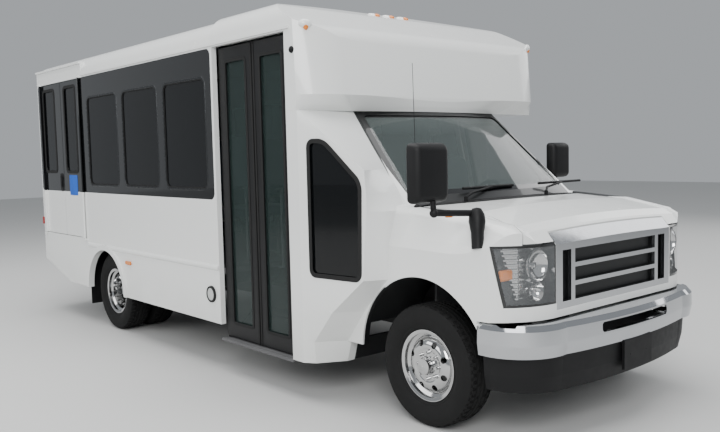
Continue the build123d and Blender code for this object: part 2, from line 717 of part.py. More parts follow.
def valance():
    """Black apron under the bumper."""
    depths = ((310, 22), (400, 6), (bumper_low - seat_gap, 0))
    outer = loft([bumper_plan(z, inset, 806, 930, 420) for z, inset in depths], ruled=True)
    inner = loft([bumper_plan(z + (z - 400) * 0.05, inset + 18, 806, 930, 380) for z, inset in depths],
                 ruled=True)
    return outer - inner


def plate_bracket():
    plate = block(front_overhang - 24, front_overhang - 6, -152, 152, 345, bumper_low - seat_gap)
    for side in (-1, 1):
        plate = plate - Pos(front_overhang - 15, side * 89, 430) * Rot(0, 90, 0) * Cylinder(3.2, 40)
    return plate


def transition_plan(z, corner, foot, inset):
    """Plan of the flare at one height: doorway strip, window face, then the return to the cab."""
    w = half_width - inset
    back = entry_front - (1 if inset else 0)
    return Pos(0, 0, z) * shape((back, -w), (cap_side_front, -w), (corner[0] - inset, corner[1] + inset),
                                (foot[0] - inset, foot[1]), (foot[0] - inset, -600), (back, -600))


def transition():
    """Cab flare: window face, sloped return to the pillar and a foot drawn in to the rocker."""
    outer = loft([transition_plan(z, corner, foot, 0) for z, corner, foot in flare_sections], ruled=True)
    inner = loft([transition_plan(z, corner, foot, flare_wall) for z, corner, foot in flare_sections],
                 ruled=True)
    post_in = block(entry_front, entry_front + flare_wall, -half_width, -half_width + 90, flare_low,
                    cap_low - seat_gap)
    outer_cab, _ = cab_shells()
    whole = (outer - inner) + post_in
    whole = whole - outer_cab - greenhouse(-1) - front_solid(-seat_gap)
    whole = whole - drum(arch_x, -1300, 0, arch_z, arch_radius)
    return whole - across(transition_window(0), -1300, -1080)


def transition_window(grow):
    g = grow
    outline = shape((-778 - g, 865 - g), (-352 + g, 868 - g), (-335 + g, 1470 + g * 0.5), (-640, 1731 + g),
                    (-778 - g, 1731 + g))
    return fillet(outline.vertices(), 50)


def transition_pane():
    lean = degrees(atan2(half_width - 1150, 870 - 298))
    plate = block(-800, -320, 10, 10 + glass, 850, 1750)
    placed = Pos(-870, -half_width, 0) * Rot(0, 0, lean) * Pos(870, 0, 0) * plate
    return placed & across(transition_window(-seat_gap), -1300, -1080)


# ---------------------------------------------------------------- running gear
def frame_rails():
    whole = None
    for side in (-1, 1):
        outer = block(tail + 60, 640, side * (rail_y - rail_width / 2), side * (rail_y + rail_width / 2),
                      rail_z0, rail_z1)
        channel = block(tail + 59, 641, side * (rail_y - rail_width / 2 - 1),
                        side * (rail_y + rail_width / 2 - 8),
                        rail_z0 + 8, rail_z1 - 8)
        rail = outer - channel
        whole = rail if whole is None else whole + rail
    for x in (tail + 300, tail + 1052, rear_axle + 713, -2400, -1500):
        whole = whole + block(x - 40, x + 40, -half_width + wall + 2, half_width - wall - 2, rail_z1 - 1,
                              floor_z - floor_thickness)
    for x in (tail + 622, tail + 932, rear_axle + 1013, -1900, -1000, 590):
        whole = whole + block(x - 35, x + 35, -rail_y, rail_y, rail_z1 - 60, rail_z1 - 8)
    return whole - block(entry_rear - 1, cab_rear + 30, -half_width, well_inner_y + 1, 0, 2000)


def front_axle():
    """Twin beams, coil towers up to the rails and an eye for each kingpin."""
    beam = block(-32, 32, -kingpin_y + 20, kingpin_y - 20, tyre_radius - 36, tyre_radius + 36)
    beam = beam - block(-33, -20, -kingpin_y + 60, kingpin_y - 60, tyre_radius - 22, tyre_radius + 22)
    beam = beam - block(20, 33, -kingpin_y + 60, kingpin_y - 60, tyre_radius - 22, tyre_radius + 22)
    for side in (-1, 1):
        beam = beam + post(0, side * kingpin_y, tyre_radius - 38, tyre_radius + 38, 34)
        beam = beam - post(0, side * kingpin_y, 0, 900, kingpin_radius + seat_gap)
        beam = beam + post(0, side * rail_y, tyre_radius + 30, rail_z0 - seat_gap, 55)
    return beam


def knuckle():
    """Left steering knuckle: fork, kingpin and wheel spindle."""
    z = tyre_radius
    fork = None
    for low, high in ((z - 68, z - 39), (z + 39, z + 68)):
        arm = post(0, kingpin_y, low, high, 34) + block(-34, 34, kingpin_y, kingpin_y + 50, low, high)
        fork = arm if fork is None else fork + arm
    web = block(-34, 34, kingpin_y + 38, kingpin_y + 56, z - 68, z + 68)
    spindle = drum(0, kingpin_y + 50, front_wheel_y + 72, z, 25)
    pin = post(0, kingpin_y, z - 68, z + 68, kingpin_radius)
    return fork + web + spindle + pin


def rear_axle_housing():
    z = tyre_radius
    tube = drum(rear_axle, -640, 640, z, tube_radius) + drum(rear_axle, -dual_outer_y + 40, dual_outer_y - 40,
                                                             z, 40)
    centre = Pos(rear_axle, 0, z) * Sphere(165)
    cover = Pos(rear_axle, 0, z) * Rot(0, 90, 0) * Cylinder(125, 380)
    plates = drum(rear_axle, 632, 646, z, 165) + drum(rear_axle, -646, -632, z, 165)
    return tube + (centre & block(rear_axle - 200, rear_axle + 200, -200, 200, z - 150,
                                  z + 150)) + cover + plates


def leaf_springs():
    """Bowed leaf packs under the rear axle with their hangers."""
    springs = []
    for side in (-1, 1):
        arc = Curve() + [ThreePointArc((rear_axle - 620, 430), (rear_axle, 272), (rear_axle + 620, 430)),
                         Line((rear_axle + 620, 430), (rear_axle + 620, 470)),
                         ThreePointArc((rear_axle + 620, 470), (rear_axle, 314.6), (rear_axle - 620, 470)),
                         Line((rear_axle - 620, 470), (rear_axle - 620, 430))]
        y0, y1 = sorted((side * 480, side * 550))
        pack = across(make_face(arc), y0, y1)
        for end in (-1, 1):
            hanger = block(rear_axle + end * 600, rear_axle + end * 650, side * 466, side * 550, 440, 560)
            pack = pack + hanger
        springs.append(pack)
    return springs


def rim():
    """Wheel half section, lathed: flanges, drop centre, disc and hub. Offset grows outward."""
    t = barrel_thickness
    outer = [(rim_radius, 85), (rim_radius, 78), (bead_radius, 76), (bead_radius, 52), (184, 40), (184, -30),
             (bead_radius, -44), (bead_radius, -76), (rim_radius, -78), (rim_radius, -85)]
    inner = [(bead_radius - t, -85), (bead_radius - t, -48), (184 - t, -34), (184 - t, 44),
             (bead_radius - t, 56),
             (bead_radius - t, 80), (rim_radius - 4, 85)]
    return shape(*outer, *inner)


def disc_section(edge_offset, hub_offset, bore, length_in, length_out):
    """Dished disc from the barrel to the hub, with the bearing hub."""
    r0 = 184 - barrel_thickness + 1
    sheet = 12
    middle = (edge_offset + hub_offset) / 2 + (14 if hub_offset > edge_offset else -14)
    face = ThreePointArc((r0, edge_offset), (150, middle), (95, hub_offset))
    back = ThreePointArc((95, hub_offset - sheet), (147, middle - sheet), (r0, edge_offset - sheet))
    curve = Curve() + [face, Line((95, hub_offset), (bore, hub_offset)),
                       Line((bore, hub_offset), (bore, hub_offset - sheet)),
                       Line((bore, hub_offset - sheet), (95, hub_offset - sheet)), back,
                       Line((r0, edge_offset - sheet), (r0, edge_offset))]
    hub = shape((bore, length_in), (58, length_in), (58, hub_offset + 6), (46, length_out),
                (0, length_out + 6), (0, length_out - 6), (bore, length_out - 6))
    return make_face(curve) + hub


def tyre_section():
    """Tyre section: bead seat, bulged sidewalls, shoulders and a crowned tread."""
    half = tyre_width / 2
    side = [(bead_radius, half - 38), (rim_radius + 2, half - 34), (262, half - 6), (306, half),
            (tyre_radius - 20, half - 12), (tyre_radius - 5, half - 24), (tyre_radius, half - 46)]
    return shape(*side, *[(radius, -offset) for radius, offset in reversed(side)])


def wheel_holes(x, y, z, pitch_radius, radius, count, depth):
    holes = None
    for i in range(count):
        a = 2 * pi * (i + 0.5) / count
        hole = drum(x + pitch_radius * cos(a), y - depth, y + depth, z + pitch_radius * sin(a), radius)
        holes = hole if holes is None else holes + hole
    return holes


def front_rim(side):
    y = side * front_wheel_y
    z = tyre_radius
    whole = lathe_y(rim() + disc_section(36, 78, 25 + seat_gap, -14, 118), 0, y, z, side)
    whole = whole - wheel_holes(0, y + side * 60, z, 138, 19, 8, 60)
    for i in range(8):
        a = 2 * pi * i / 8
        whole = whole + drum(80 * cos(a), y + side * 70, y + side * 98, z + 80 * sin(a), 11)
    return whole


def rear_rims(side):
    z = tyre_radius
    x = rear_axle
    outer_y, inner_y = side * dual_outer_y, side * dual_inner_y
    bore = 40 + seat_gap
    dish = -110
    outer = lathe_y(rim() + disc_section(-50, dish, bore, dish - 12, 20), x, outer_y, z, side)
    inner = lathe_y(rim(), x, inner_y, z, side)
    mount = dual_outer_y + dish - 12
    bell = shape((184 - barrel_thickness + 1, 60), (184 - barrel_thickness + 1, 48),
                 (110, mount - dual_inner_y - 24),
                 (bore, mount - dual_inner_y - 24), (bore, mount - dual_inner_y), (116, mount - dual_inner_y))
    inner = inner + lathe_y(bell, x, inner_y, z, side)
    whole = outer + inner
    whole = whole - wheel_holes(x, outer_y + side * -80, z, 140, 19, 8, 60)
    for i in range(8):
        a = 2 * pi * i / 8
        whole = whole + drum(x + 80 * cos(a), outer_y + side * (dish - 6), outer_y + side * (dish + 20),
                             z + 80 * sin(a), 11)
    return whole


def engine():
    block_body = block(engine_rear, 190, -230, 230, 440, 960)
    return block_body + block(-60, 20, -rail_y + rail_width / 2, rail_y - rail_width / 2, rail_z1 - 34,
                              rail_z1)


def driveshaft():
    """Two tubes with a centre bearing hung under a cross brace."""
    joint = (-1900, 0, 465)
    front = rod((engine_rear - 2, 0, 480), joint, 42)
    rear = rod(joint, (rear_axle + 192, 0, tyre_radius + 4), 42)
    bearing = block(joint[0] - 30, joint[0] + 30, -55, 55, 420, rail_z1 - 60 - seat_gap)
    return front + rear + bearing + Pos(*joint) * Sphere(44)


def fuel_tank():
    tank = block(tail + 482, tail + 1072, -190, 385, 330, 520)
    tank = fillet(tank.edges().filter_by(Axis.X), 45)
    for x in (tail + 622, tail + 932):
        tank = tank + block(x - 20, x + 20, -150, 340, 515, rail_z1 - 60 - seat_gap)
    return tank


def exhaust():
    path = FilletPolyline((-560, -275, 470), (-1200, -275, 420), (rear_axle + 763, -275, 420),
                          (rear_axle + 313, -275, 600), (rear_axle - 287, -275, 600),
                          (rear_axle - 687, -275, 430), (tail + 80, -275, 430), radius=120)
    pipe = sweep(Plane(path @ 0, z_dir=path % 0) * Circle(28), path=path)
    muffler = Pos(-2050, -275, 420) * Rot(0, 90, 0) * Cylinder(105, 560)
    for x, z in ((-3000, 440), (-1900, 515)):
        muffler = muffler + block(x - 10, x + 10, -285, -265, z, rail_z1 - 60 - seat_gap)
    return pipe + muffler


# ---------------------------------------------------------------- outside fittings
def trim_rails():
    """Rub rails, arch flares and drip rails, all fixed flat on the body sides."""
    half_round = make_face(Curve() + [ThreePointArc((0, rail_low), (-rail_proud, (rail_low + rail_high) / 2),
                                                    (0, rail_high)),
                                      Line((0, rail_high), (0, rail_low))])
    pieces = []
    for side, x0, x1 in ((-1, lift_panel_front + 8, entry_rear - 4), (1, tail + 30, cab_rear - 60)):
        bar = along(half_round, x0, x1)
        bar = bar if side < 0 else mirrored(bar)
        bar = Pos(0, side * half_width, 0) * bar
        arch = drum(rear_axle, -3000, 3000, tyre_radius, rear_arch_radius + flare_width + 1)
        pieces.append(bar - arch)
    for side in (-1, 1):
        ring = Circle(rear_arch_radius + flare_width) - Circle(rear_arch_radius)
        ring = Pos(rear_axle, tyre_radius) * ring
        ring = ring - shape((-9000, -100), (2000, -100), (2000, skirt_z), (-9000, skirt_z))
        pieces.append(across(ring, side * half_width, side * (half_width + flare_proud)))
    for side, x0, x1 in ((-1, lift_panel_front + 5, entry_front + 60), (1, tail + 5, cab_rear)):
        pieces.append(block(x0, x1, side * half_width, side * (half_width + 12), gutter_z - 22, gutter_z - 4))
    pieces.append(block(tail, lift_panel_front, -half_width - 14, -half_width, lift_header_z - 22,
                        lift_header_z - 4))
    return pieces


def mud_flaps():
    flaps = []
    for side in (-1, 1):
        flaps.append(block(rear_axle - 500, rear_axle - 492, side * 640, side * (half_width - wall - 5), 190,
                           floor_z - floor_thickness - seat_gap))
    return flaps


def rear_bumper():
    bar = block(tail - rear_overlap, tail - 40, -1100, 1100, 490, 640)
    bar = fillet(bar.edges().filter_by(Axis.Y), 16)
    for side in (-1, 1):
        bar = bar + block(tail - 60, tail + 66, side * (rail_y - 25), side * (rail_y + rail_width / 2 - 8),
                          495, tail_skirt_z - 5)
    return bar


def mirror_head(x, y0, y1, z0, z1):
    head = block(x - 45, x + 45, y0, y1, z0, z1)
    head = fillet(head.edges().filter_by(Axis.X), 38)
    return head


def mirror_right():
    """Fender mirror: foot, swan-neck post, arm and head."""
    head = mirror_head(300, -1360, -1075, 1361, 1700)
    foot = rod((430, -985, 1100), (395, -950, 1290), 34)
    arm = rod((395, -940, 1300), (330, -1215, 1316), 19) + Pos(395, -940, 1300) * Sphere(30)
    neck = post(322, -1205, 1300, 1372, 17) + Pos(330, -1215, 1316) * Sphere(22)
    return head + arm + neck + foot - front_solid(-seat_gap)


def mirror_left():
    """Door mirror on two arms."""
    head = mirror_head(-600, 1110, 1360, 1400, 1700)
    lower = rod((-480, 985, 1265), (-590, 1180, 1420), 16)
    upper = rod((-480, 985, 1265), (-480, 1000, 1290), 30)
    return (head + lower + upper) - lower_cab(-seat_gap) - greenhouse(-seat_gap)


def wipers():
    """Two wipers: spindle in the cowl, cranked arm and blade lying near the glass."""
    pieces = []
    for x, y in ((-100, -470), (-66, 330)):
        spindle = rod((x, y, 1306), (x, y, 1354), 13)
        crank = rod((x, y, 1349), (-114, y + 80, 1376), 8)
        arm = rod((-114, y + 80, 1376), (-162, y + 330, 1402), 8)
        blade = rod((-160, y + 40, 1402), (-168, y + 560, 1402), 9)
        pieces.append(spindle + crank + Pos(-114, y + 80, 1376) * Sphere(8) + arm + blade)
    return pieces


def tail_lamps():
    pieces = []
    for side in (-1, 1):
        for z in (760, 900, 1040):
            pieces.append(Pos(tail - 14, side * 1050, z) * Rot(0, 90, 0) * Cylinder(56, 28))
    for y in (-150, 0, 150):
        pieces.append(block(tail - 20, tail, y - 45, y + 45, gutter_z + 80, gutter_z + 115))
    return pieces


# ---------------------------------------------------------------- interior
def bench(x, y0, y1):
    """Two-place seat: cushion, leaning back and two legs."""
    base = floor_z + seat_gap
    cushion = block(x - 430, x, y0, y1, base + 330, base + 430)
    cushion = fillet(cushion.edges().filter_by(Axis.Y), 30)
    back = across(shape((x - 430, base + 400), (x - 350, base + 400), (x - 450, base + 1030),
                        (x - 520, base + 1030)), y0, y1)
    legs = None
    for y in (y0 + 120, y1 - 120):
        leg = block(x - 330, x - 90, y - 18, y + 18, base, base + 340)
        legs = leg if legs is None else legs + leg
    return cushion + back + legs


def seats():
    rows = []
    for i in range(4):
        rows.append(bench(-1720 - i * 790, 290, 1130))
    for i in range(3):
        rows.append(bench(-2180 - i * 790, -1130, -290))
    for side in (-1, 1):
        over_wheel = block(rear_axle - 420 - seat_gap, rear_axle + 420 + seat_gap, side * (600 - seat_gap),
                           side * 1300,
                           floor_z, floor_z + 70 + seat_gap)
        rows = [row - over_wheel for row in rows]
    base = cab_floor_z + seat_gap
    y0, y1 = 330, 830
    driver = block(-1180, -760, y0 + 60, y1 - 60, base, base + 290) + block(-1220, -720, y0, y1, base + 280,
                                                                            base + 400)
    driver = driver + across(shape((-1220, base + 380), (-1110, base + 380), (-1210, base + 980),
                                   (-1300, base + 980)), y0, y1)
    driver = driver + block(-1300, -1230, y0 + 120, y1 - 120, base + 970, base + 1160)
    return rows + [driver]


def dashboard():
    """Dash with its hood over the dials, column and steering wheel."""
    outline = shape((-345 - seat_gap, 1000), (-345 - seat_gap, 1240), (-480, 1255), (-600, 1180),
                    (-620, 1080), (-520, 1000))
    dash = across(outline, -880, 880)
    pod = across(shape((-400, 1240), (-470, 1300), (-600, 1270), (-610, 1170)), 300, 680)
    column = rod((-560, 490, 1130), (-766.8, 490, 1233.3), 30)
    return dash + pod + column


def steering_wheel():
    ring = Pos(-778, 490, 1239) * Rot(0, -63, 0) * Torus(185, 15)
    spokes = Pos(-778, 490, 1239) * Rot(0, -63, 0) * (Box(20, 370, 16) + Box(370, 20, 16) + Cylinder(50, 24))
    return ring + spokes


def main():
    os.makedirs("parts", exist_ok=True)
    hood, cowl, nose, fender_left, fender_right, lamps, crest = front_pieces()
    cab, door = cab_shell_and_door()
    write("frame_rails", frame_rails())
    write("engine_block", engine())
    write("front_axle", front_axle())
    write("knuckle_left", knuckle())
    write("knuckle_right", mirrored(knuckle()))
    write("rear_axle", rear_axle_housing())
    write("leaf_springs", *leaf_springs())
    write("driveshaft", driveshaft())
    write("fuel_tank", fuel_tank())
    write("exhaust", exhaust())
    for side, name in ((1, "left"), (-1, "right")):
        write(f"front_rim_{name}", front_rim(side))
        write(f"front_tyre_{name}", lathe_y(tyre_section(), 0, side * front_wheel_y, tyre_radius, side))
        write(f"rear_rims_{name}", rear_rims(side))
        write(f"rear_tyres_{name}", lathe_y(tyre_section(), rear_axle, side * dual_outer_y, tyre_radius,
                                            side),
              lathe_y(tyre_section(), rear_axle, side * dual_inner_y, tyre_radius, side))
    write("hood", hood)
    write("cowl", cowl, *wipers())
    write("nose_panel", nose)
    write("fender_left", fender_left)
    write("fender_right", fender_right)
    write("headlamps", *lamps)
    write("grille", grille(), crest)
    write("front_bumper", front_bumper())
    write("bumper_valance", valance(), plate_bracket())
    write("cab_shell", cab)
    write("cab_floor", cab_panels())
    write("windshield", windshield())
    write("driver_door", door)
    write("roof_cap", roof_cap())
    write("transition_panel", transition())
    write("right_wall", right_wall())
    write("lift_surround", lift_surround(), *lift_hinge_brackets())
    write("left_wall", left_wall())
    write("rear_wall", rear_wall())
    write("roof", roof())
    write("floor", body_floor())
    write("wheel_boxes", *wheel_boxes())
    write("entry_steps", entry_steps())
    panes = [pane((r, f, window_low, window_high), -half_width, window_corner) for r,
             f in window_spans(right_windows)]
    panes += [pane((r, f, window_low, window_high), half_width, window_corner) for r, f in left_spans]
    panes.append(along(rear_window_face(-seat_gap), tail + 12, tail + 12 + glass))
    write("side_glass", *panes, transition_pane())
    for name, hinge, towards in (("rear", entry_rear_hinge, 1), ("front", entry_front_hinge, -1)):
        frame, window = entrance_leaf(hinge, towards)
        write(f"entrance_{name}_leaf", frame)
        write(f"entrance_{name}_glass", window)
    middle = lift_split
    write("lift_rear_leaf", lift_leaf_panel(lift_rear, middle - 4, lift_rear_window))
    write("lift_front_leaf", lift_leaf_panel(lift_front, middle + 4, lift_front_window))
    write("lift_rear_glass", pane(lift_rear_window, -half_width, 45))
    write("lift_front_glass", pane(lift_front_window, -half_width, 45))
    outer, inner = greenhouse(10), greenhouse(10 + glass, belt_z - 1, header_z + 1)
    write("driver_glass", (outer - inner) & across(driver_door_window(-seat_gap), 500, 1200))
    write("mirror_right", mirror_right())
    write("mirror_left", mirror_left())
    write("trim_rails", *trim_rails())
    write("mud_flaps", *mud_flaps())
    write("rear_bumper", rear_bumper())
    write("tail_lamps", *tail_lamps())
    write("seats", *seats())
    write("dashboard", dashboard())
    write("steering_wheel", steering_wheel())


main()
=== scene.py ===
import json
from math import atan2, cos, pi, radians, sin

import bmesh
import bpy
from mathutils import Matrix, Vector


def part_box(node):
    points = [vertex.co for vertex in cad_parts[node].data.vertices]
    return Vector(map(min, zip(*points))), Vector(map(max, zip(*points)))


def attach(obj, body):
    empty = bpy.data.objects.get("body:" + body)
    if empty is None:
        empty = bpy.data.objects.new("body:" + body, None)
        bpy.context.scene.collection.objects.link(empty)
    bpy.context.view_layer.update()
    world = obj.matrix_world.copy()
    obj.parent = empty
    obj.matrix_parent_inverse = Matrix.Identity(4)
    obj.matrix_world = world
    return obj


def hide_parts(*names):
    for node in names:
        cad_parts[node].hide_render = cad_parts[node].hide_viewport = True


# Shuttle minibus: paint, glass, bright work, tyres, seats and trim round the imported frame, in metres.
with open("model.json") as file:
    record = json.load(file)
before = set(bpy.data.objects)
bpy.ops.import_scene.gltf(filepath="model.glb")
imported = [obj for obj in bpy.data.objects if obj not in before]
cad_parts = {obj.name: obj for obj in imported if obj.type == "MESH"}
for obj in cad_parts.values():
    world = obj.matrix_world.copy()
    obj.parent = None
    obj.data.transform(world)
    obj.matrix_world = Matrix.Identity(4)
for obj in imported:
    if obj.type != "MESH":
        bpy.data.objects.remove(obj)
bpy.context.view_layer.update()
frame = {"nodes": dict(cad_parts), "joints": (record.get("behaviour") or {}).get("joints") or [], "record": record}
nodes = frame["nodes"]
joints = {joint["name"]: joint for joint in frame["joints"]}
axle_x, front_wheel_y, wheel_z = joints["roll_front_left"]["pos_m"]
rear_axle_x = joints["roll_rear_left"]["pos_m"][0]
side_y = -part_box("right_wall")[0].y
floor_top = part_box("floor")[1].z


def at(station):
    """Place along X of a station measured from the front axle."""
    return axle_x + station


def placed(spot):
    """A point whose X is measured from the front axle."""
    return (at(spot[0]), spot[1], spot[2])


# ---------------------------------------------------------------- sizes
# black band and windows of the coach sides
band_low, band_high = 1.320, 2.445
band_rear, band_front = at(-5.555), at(-1.935)
band_corner, band_skin = 0.055, 0.0125
window_low, window_high = 1.385, 2.250
window_width, window_pitch, first_window = 0.695, 0.792, at(-2.020)
window_corner = 0.070
right_windows, left_windows = 3, 4
small_left_windows = [(at(-1.885), at(-1.560)), (at(-5.500), at(-5.201))]
frame_width, frame_depth, frame_sunk = 0.016, 0.010, 0.008
pane_rubber_inset, pane_rubber_width, rubber_depth = 0.015, 0.010, 0.006
lift_windows = {"lift_rear": (at(-5.472), at(-5.150)), "lift_front": (at(-4.878), at(-4.576))}
lift_window_low, lift_window_high = 1.520, 2.380
wide_rubber, wide_rubber_corner = 0.030, 0.055

# cab: wheel arch, windshield opening, clear part of the windshield, lamps and driver's window
arch_centre, arch_radius, arch_lip = (at(-0.005), 0.400), 0.508, 0.012
cab_side_y = 1.005
# painted shade under the cab: half width and top of the black laid on the shell's inside there
under_shade_half, under_shade_high = 0.925, 0.610
screen_top, screen_rear, screen_rake, screen_spread = 1.921, at(-0.888), 1.1155, 0.240
surround_half, surround_low = 0.742, 1.291
clear_half, clear_low, clear_high, shade_low = 0.672, 1.400, 1.885, 1.76
grille_face, grille_top, bar_depth = at(0.688), 1.118, 0.020
lamp_top, lamp_rear, lamp_rake = 1.128, at(0.526), 0.1598
lens_low, lens_high, lens_inner = 0.804, 1.114, 0.638
door_window = [(-1.215, 1.330), (-0.500, 1.330), (-0.905, 1.840), (-1.215, 1.840)]
door_black_edge, door_black_low = 0.026, 1.306
flare_window = [(-0.790, 0.853), (-0.340, 0.856), (-0.322, 1.474), (-0.636, 1.743), (-0.790, 1.743)]
flare_rear, flare_slope = -0.870, 0.1207

# tyres: half section from the bead over the shoulder, and the tread's grooves and notches
tyre_half = 0.1125
tyre_wall = [(0.204, 0.074), (0.218, 0.079), (0.232, 0.093), (0.240, 0.094), (0.246, 0.099),
             (0.275, 0.1075), (0.305, 0.1105), (0.330, 0.108), (0.346, 0.101), (0.357, 0.0955),
             (0.365, 0.084), (0.3675, 0.074)]
tread_radius, tread_pitches = 0.3685, 56
groove_places, groove_half, groove_depth = (0.050, 0.017), 0.0045, 0.008
groove_lip, groove_floor = 0.002, 0.001
shoulder_radius, shoulder_span = 0.3575, (0.056, 0.092)
rib_radius, rib_span = 0.367, (0.022, 0.046)
notch_depth, notch_taper = 0.006, (0.72, 0.96, 0.72)


# ---------------------------------------------------------------- finishes
class Value:
    """A node socket that takes part in sums."""

    def __init__(self, finish, socket):
        self.finish, self.socket = finish, socket

    def sum(self, operation, *others):
        return self.finish.node("ShaderNodeMath", {"operation": operation}, dict(enumerate(others)))

    def __add__(self, other):
        return self.sum("ADD", self, other)

    def __sub__(self, other):
        return self.sum("SUBTRACT", self, other)

    def __rsub__(self, other):
        return self.sum("SUBTRACT", other, self)

    def __mul__(self, other):
        return self.sum("MULTIPLY", self, other)

    def __gt__(self, other):
        return self.sum("GREATER_THAN", self, other)

    def __lt__(self, other):
        return self.sum("LESS_THAN", self, other)

    __radd__, __rmul__ = __add__, __mul__

    def size(self):
        return self.sum("ABSOLUTE", self)

    def over(self, low):
        return self.sum("MAXIMUM", self, low)

    def kept(self):
        """Held between 0 and 1."""
        return self.sum("MINIMUM", self.over(0.0), 1.0)


class Finish:
    """A material whose colour, roughness and bump come from a few nodes."""

    def __init__(self, name, **settings):
        self.material = bpy.data.materials.new(name)
        self.material.use_nodes = True
        self.tree = self.material.node_tree
        self.shader = self.tree.nodes["Principled BSDF"]
        for key, value in settings.items():
            self.set(key.replace("_", " "), value)

    def feed(self, socket, value):
        if isinstance(value, Value):
            self.tree.links.new(value.socket, socket)
        elif isinstance(value, tuple) and len(value) == 3 and socket.type == "RGBA":
            socket.default_value = (*value, 1.0)
        else:
            socket.default_value = value

    def set(self, name, value):
        self.feed(self.shader.inputs[name], value)
        return self

    def node(self, kind, settings=None, inputs=None, out=0):
        made = self.tree.nodes.new(kind)
        for key, value in (settings or {}).items():
            setattr(made, key, value)
        for key, value in (inputs or {}).items():
            self.feed(made.inputs[key], value)
        return Value(self, made.outputs[out])

    def point(self):
        """The surface point in the piece's own frame."""
        return self.node("ShaderNodeTexCoord", out=3)

    def place(self):
        """X, Y and Z of the surface point."""
        split = self.node("ShaderNodeSeparateXYZ", {}, {0: self.point()})
        return [Value(self, output) for output in split.socket.node.outputs]

    def noise(self, scale, detail=3.0):
        return self.node("ShaderNodeTexNoise", {}, {"Vector": self.point(), "Scale": scale, "Detail": detail})

    def mix(self, mask, low, high):
        return self.node("ShaderNodeMix", {"data_type": "RGBA"}, {0: mask, 6: low, 7: high}, out=2)

    def colour(self, value):
        return self.set("Base Color", value)

    def rough(self, value):
        return self.set("Roughness", value)

    def bump(self, height, strength, distance):
        inputs = {"Height": height, "Strength": strength, "Distance": distance}
        return self.set("Normal", self.node("ShaderNodeBump", {}, inputs))


white, shaded_white = (0.86, 0.87, 0.855), (0.80, 0.815, 0.80)
road_dust = (0.30, 0.30, 0.26)
# near black for the black band, trim and grille back, and also used as painted shade under the cab
near_black = (0.003, 0.0035, 0.004)


def shades(shade, factor, lift=0.0):
    """A colour made paler or darker by a factor."""
    return tuple(part * factor + lift for part in shade)


def road_film(finish, base, z, amount=0.5):
    """Light film of road dirt that fades out above the sills."""
    patches = finish.noise(3.0, 5.0)
    low = ((0.75 - z) * 1.6).kept()
    return finish.mix((low * patches * amount).kept(), base, road_dust)


def within(x, z, corners, grow):
    """1 inside the convex outline through the corners, grown by a margin."""
    inside = None
    for (x0, z0), (x1, z1) in zip(corners, corners[1:] + corners[:1]):
        run, rise = x1 - x0, z1 - z0
        length = (run * run + rise * rise) ** 0.5
        edge = (x * (rise / length) - z * (run / length)) < (x0 * rise - z0 * run) / length + grow
        inside = edge if inside is None else inside * edge
    return inside


def window_band(x, y, z):
    """1 on the outer skin inside the long black band with its rounded corners."""
    half_x, half_z = (band_front - band_rear) / 2, (band_high - band_low) / 2
    dx = ((x - (band_rear + band_front) / 2).size() - (half_x - band_corner)).over(0.0)
    dz = ((z - (band_low + band_high) / 2).size() - (half_z - band_corner)).over(0.0)
    return ((dx * dx + dz * dz) < band_corner * band_corner) * (y.size() > side_y - band_skin)


def cab_black_and_shade(x, y, z):
    """1 on the black wheel arch lining and the windshield's surround, and on the shell's inside under the cab,
    where the black is painted shade.
    """
    dx, dz = x - arch_centre[0], z - arch_centre[1]
    lining = ((dx * dx + dz * dz) < (arch_radius + arch_lip) ** 2) * (y.size() < cab_side_y - arch_lip)
    ahead = x > (screen_top - z) * screen_rake + screen_rear
    surround = (y.size() < (screen_top - z) * screen_spread + surround_half) * ahead * (z > surround_low)
    # painted shade: the shell's inside under the cab is painted black
    underside_shade = (y.size() < under_shade_half) * (z < under_shade_high)
    return (lining + surround + underside_shade).kept()


def door_black(x, y, z):
    """1 on the frame round the driver's window."""
    corners = [(at(station), height) for station, height in door_window]
    return within(x, z, corners, door_black_edge) * (z > door_black_low)


def paint(name, black=None, black_rough=0.45):
    """White coach enamel under clear coat, with the black area that a kind of panel carries; on the cab that area
    also holds painted shade under the cab.
    """
    finish = Finish(name, Coat_Weight=0.5, Coat_Roughness=0.04, Specular_IOR_Level=0.5)
    x, y, z = finish.place()
    base = finish.mix(finish.noise(1.3, 2.0) * 0.35, white, shaded_white)
    shade = road_film(finish, base, z)
    rough = finish.noise(9.0, 3.0) * 0.10 + 0.20
    if black:
        # the black area, which on the cab also lays painted shade under the cab
        dark = black(x, y, z)
        shade = finish.mix(dark, shade, near_black)
        rough = rough * (1 - dark) + dark * black_rough
    finish.colour(shade).rough(rough)
    return finish.bump(finish.noise(60.0, 2.0), 0.02, 0.001)


def glazing(name, tint, alpha):
    """Window glass: a dark tint, seen through as far as alpha leaves."""
    finish = Finish(name, Alpha=alpha, Specular_IOR_Level=0.35)
    finish.colour(finish.mix(finish.noise(1.7, 1.0), tint, shades(tint, 1.5)))
    return finish.rough(finish.noise(14.0, 2.0) * 0.03 + 0.015)


def screen(name):
    """Windshield: clear in the middle, a black band round the edge and a shade band along the top."""
    finish = Finish(name, Specular_IOR_Level=0.8, Coat_Weight=0.4, Coat_Roughness=0.01)
    x, y, z = finish.place()
    side = y.size() > (screen_top - z) * screen_spread + clear_half
    edge = 1 - (1 - side) * (z < clear_high) * (z > clear_low)
    fade = ((z - shade_low) * 9.0).kept() * 0.30
    finish.colour(finish.mix(edge, (0.075, 0.095, 0.092), (0.004, 0.004, 0.005)))
    finish.set("Alpha", (edge * 0.97 + (1 - edge) * (fade + 0.50)).kept())
    return finish.rough(finish.noise(14.0, 2.0) * 0.03 + 0.015)


